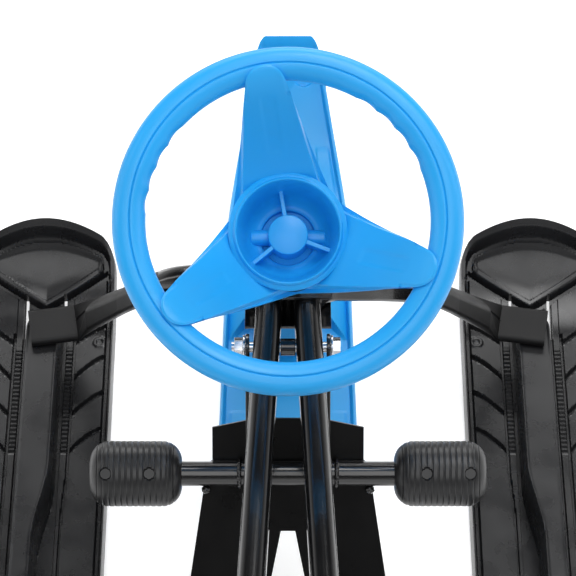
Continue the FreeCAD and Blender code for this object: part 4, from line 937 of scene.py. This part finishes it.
# ---- seat
def seat_cushion():
    """Foam pad in a sewn cover: crowned top, bulging sides and two sewn channels across."""
    low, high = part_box("seat_pad")
    thick = high[2] - low[2]
    mid_y, half_y = (low[1] + high[1]) / 2, (high[1] - low[1]) / 2
    rear_half, front_narrow, squareness, inflate_cap = (high[0] - low[0]) / 2, 22 * MM, 4.6, 9 * MM
    edge_share, side_bulge, side_share, crown_share = 0.955, 0.03, 0.62, 0.36
    segments = 168
    angles = full_turn(segments)
    cosine, sine = np.cos(angles), np.sin(angles)
    plan_x = np.sign(cosine) * np.abs(cosine) ** (2 / squareness)
    plan_y = np.sign(sine) * np.abs(sine) ** (2 / squareness)

    def layer(share, z):
        """One ring of the cushion: its plan at a share of full size, narrower to the front."""
        width = rear_half - front_narrow * np.clip((plan_y * share + 1) / 2, 0, 1) ** 1.4
        x = plan_x * width * share
        return np.stack([x, mid_y + plan_y * half_y * share, z + 0 * x], 1)

    points = [layer(0.02, low[2])]
    for share in np.linspace(0.2, edge_share, 8):
        points.append(layer(share, low[2]))
    for a in np.linspace(-math.pi / 2, math.pi / 2, 13)[1:]:
        height = thick * side_share * (math.sin(a) + 1) / 2
        points.append(layer(edge_share + side_bulge * math.cos(a), low[2] + height))
    for t in np.linspace(0, 1, 22)[1:]:
        crown = thick * (side_share + crown_share * (1 - (1 - t) ** 2.6))
        points.append(layer(max(edge_share * (1 - t), 0.004), low[2] + crown))
    faces = capped_faces(len(points), segments)
    cushion = mesh_object("seat_cushion", np.reshape(points, (-1, 3)), faces, COVER, 70)
    inflate(cushion, inflate_cap)
    subdivide = cushion.modifiers.new("fine", "SUBSURF")
    subdivide.levels = subdivide.render_levels = 1
    bake(cushion)
    mesh = cushion.data
    co = vertex_array(mesh)
    lift = np.clip((co[:, 2] - low[2]) / thick, 0, 1)
    on_top = smooth_step(lift, 0.45, 0.85)
    seam_out, seam_width, seam_depth, stitch = 58 * MM, 4.2 * MM, 5.2 * MM, 5.5 * MM
    for seam_y in (mid_y - seam_out, mid_y + seam_out):
        stitched = np.exp(-(np.abs(co[:, 1] - seam_y) / seam_width) ** 2)
        pucker = 0.8 + 0.2 * np.cos(co[:, 0] / stitch * math.pi)
        co[:, 2] -= on_top * stitched * seam_depth * pucker
    wrinkle_height, proud = 0.35 * MM, 4 * MM
    wrinkle = np.sin(co[:, 0] * 310 + 2.3 * np.sin(co[:, 1] * 95)) * np.sin(co[:, 1] * 120 + co[:, 0] * 33)
    co[:, 2] += on_top * wrinkle * wrinkle_height
    co[:, 2] = np.clip(co[:, 2], low[2], high[2] + proud)
    mesh.vertices.foreach_set("co", co.ravel())
    mesh.update()
    return cushion


def bake(obj):
    """Applies an object's modifiers to its mesh."""
    graph = bpy.context.evaluated_depsgraph_get()
    baked = bpy.data.meshes.new_from_object(obj.evaluated_get(graph))
    obj.modifiers.clear()
    obj.data = baked


def inflate(obj, cap):
    """Fills the cover by cloth pressure. Each point's move is capped, and the underside is held."""
    remesh = obj.modifiers.new("even", "REMESH")
    remesh.mode = "VOXEL"
    remesh.voxel_size = 5 * MM
    bake(obj)
    start = vertex_array(obj.data)
    cloth = obj.modifiers.new("cloth", "CLOTH")
    cloth.settings.use_pressure = True
    cloth.settings.uniform_pressure_force = 3.0
    cloth.settings.effector_weights.gravity = 0
    cloth.settings.quality = 6
    scene = bpy.context.scene
    last_frame = 15
    for number in range(1, last_frame + 1):
        scene.frame_set(number)
    bake(obj)
    move = vertex_array(obj.data) - start
    distance = np.linalg.norm(move, axis=1)[:, None]
    move *= np.minimum(1, cap / np.maximum(distance, 1e-9))
    lowest = start[:, 2].min()
    free = smooth_step(start[:, 2], lowest, lowest + 8 * MM)[:, None]
    obj.data.vertices.foreach_set("co", (start + move * free).ravel())
    obj.data.update()
    obj.data.shade_smooth()
    scene.frame_set(1)


cushion = seat_cushion()
settle(cushion, "frame", "seat_cover", "seat_pad")


# ---- CAD nodes kept, with finishes
ARM_OUT, ARM_AHEAD = 100 * MM, 100 * MM
for name in ("frame_tube_left", "frame_tube_right"):
    tube_node = finish_node(name, PAINT)
    tube_node.data.materials.append(SATIN)
    # the front arms are satin
    for face in tube_node.data.polygons:
        face.material_index = int(abs(face.center.x) > ARM_OUT and face.center.y > ARM_AHEAD)

FINISHES = (
    (PAINT, "frame_paint", 0.5, ("head_tube", "steering_column", "column_collar", "foot_bar", "rail_spacer")),
    (PAINT, "frame_paint", 0.7, (
        "head_gussets", "seat_brackets", "spring_lugs", "ski_yoke", "brake_strap_left", "brake_strap_right")),
    (PLATE, "frame_paint", 0.7, ("brake_plate",)),
    (ZINC, "zinc", 0.4, (
        "brake_pivot_bolt", "brake_pivot_nut", "brake_pivot_washers", "ski_bolts", "ski_washers",
        "seat_screws", "ski_pivot_bolt", "ski_pivot_nut", "ski_pivot_washers", "wheel_cross_bolt",
        "wheel_cross_nut")),
    (DARK_ZINC, "zinc", 0.4, ("collar_screw", "wheel_screws")),
    (RUBBER, "zinc", 1.2, ("peg_screws",)),
    (NYLON, "nylon", 0.3, ("head_bushes", "ski_bushes")),
    (BLACK, "black_moulding", 1.5, ("seat_base",)),
)
for material, slot, bevel, names in FINISHES:
    for name in names:
        finish_node(name, material, bevel * MM)

# ---- floor, light and camera
FLOOR_GAP = 0.5 * MM  # keeps the floor from sharing a plane with the skis' soles
bpy.ops.mesh.primitive_plane_add(size=30, location=(0, 0, -FLOOR_GAP))
floor = bpy.context.object
floor.name = "floor"
floor_material, floor_shader = node_material("pale_floor", (0.85, 0.85, 0.85), 0.9, specular=0.1)
tint(floor_shader, noise(floor_shader, 3, 2), (0.84, 0.84, 0.84), (0.86, 0.86, 0.86))
set_inputs(floor_shader, {"Emission Color": (1, 1, 1, 1), "Emission Strength": 0.5})
floor.data.materials.append(floor_material)


def studio_sky(low, high):
    """A pale horizon under a dim ceiling, so that glossy black parts keep their depth."""
    world = bpy.data.worlds.new("studio")
    bpy.context.scene.world = world
    world.use_nodes = True
    tree = world.node_tree
    direction = tree.nodes.new("ShaderNodeTexCoord")
    split = tree.nodes.new("ShaderNodeSeparateXYZ")
    fade = tree.nodes.new("ShaderNodeMapRange")
    set_inputs(fade, {"From Min": 0.12, "From Max": 0.55, "To Min": low, "To Max": high})
    tree.links.new(direction.outputs["Generated"], split.inputs["Vector"])
    tree.links.new(split.outputs["Z"], fade.inputs["Value"])
    tree.links.new(fade.outputs["Result"], tree.nodes["Background"].inputs["Strength"])
    tree.nodes["Background"].inputs["Color"].default_value = (1, 1, 1, 1)


def softbox(name, place, aim, width, height, radiance):
    """A rectangular lamp of a given brightness, whatever its size."""
    light = bpy.data.lights.new(name, "AREA")
    light.shape = "RECTANGLE"
    light.size, light.size_y = width, height
    light.energy = radiance * math.pi * width * height
    obj = add_object(name, light)
    obj.location = place
    obj.rotation_euler = (Vector(aim) - Vector(place)).to_track_quat("-Z", "Y").to_euler()


studio_sky(0.8, 0.06)
softbox("key", (0.5, 0.5, 2.8), (0, 0.1, 0.2), 1.3, 1.3, 6.5)
softbox("rear_panel", (0, -1.8, 2.95), (0, 0, 0.2), 2.6, 2.3, 2.4)
softbox("front_panel", (0, 2.85, 2.1), (0, 0.2, 0.1), 3.0, 1.2, 4.6)
softbox("left_strip", (-2.3, 0.2, 1.7), (0, 0, 0.2), 0.6, 2.6, 2.8)
softbox("right_strip", (2.3, 0.2, 1.7), (0, 0, 0.2), 0.6, 2.6, 2.8)

# The camera looks down along the sled's middle plane, from behind, at a point AIM_Y ahead of the origin.
VIEW_DOWN = math.radians(50.69)
AIM_Y, CAMERA_FAR, LENS = 0.3253, 2.4245, 173.8
camera_data = bpy.data.cameras.new("camera")
camera_data.lens = LENS
camera_data.sensor_width = 36
camera = add_object("camera", camera_data)
camera.location = (0, AIM_Y - CAMERA_FAR * math.cos(VIEW_DOWN), CAMERA_FAR * math.sin(VIEW_DOWN))
camera.rotation_euler = (math.pi / 2 - VIEW_DOWN, 0, 0)
bpy.context.scene.camera = camera
bpy.context.scene.view_settings.view_transform = "Standard"
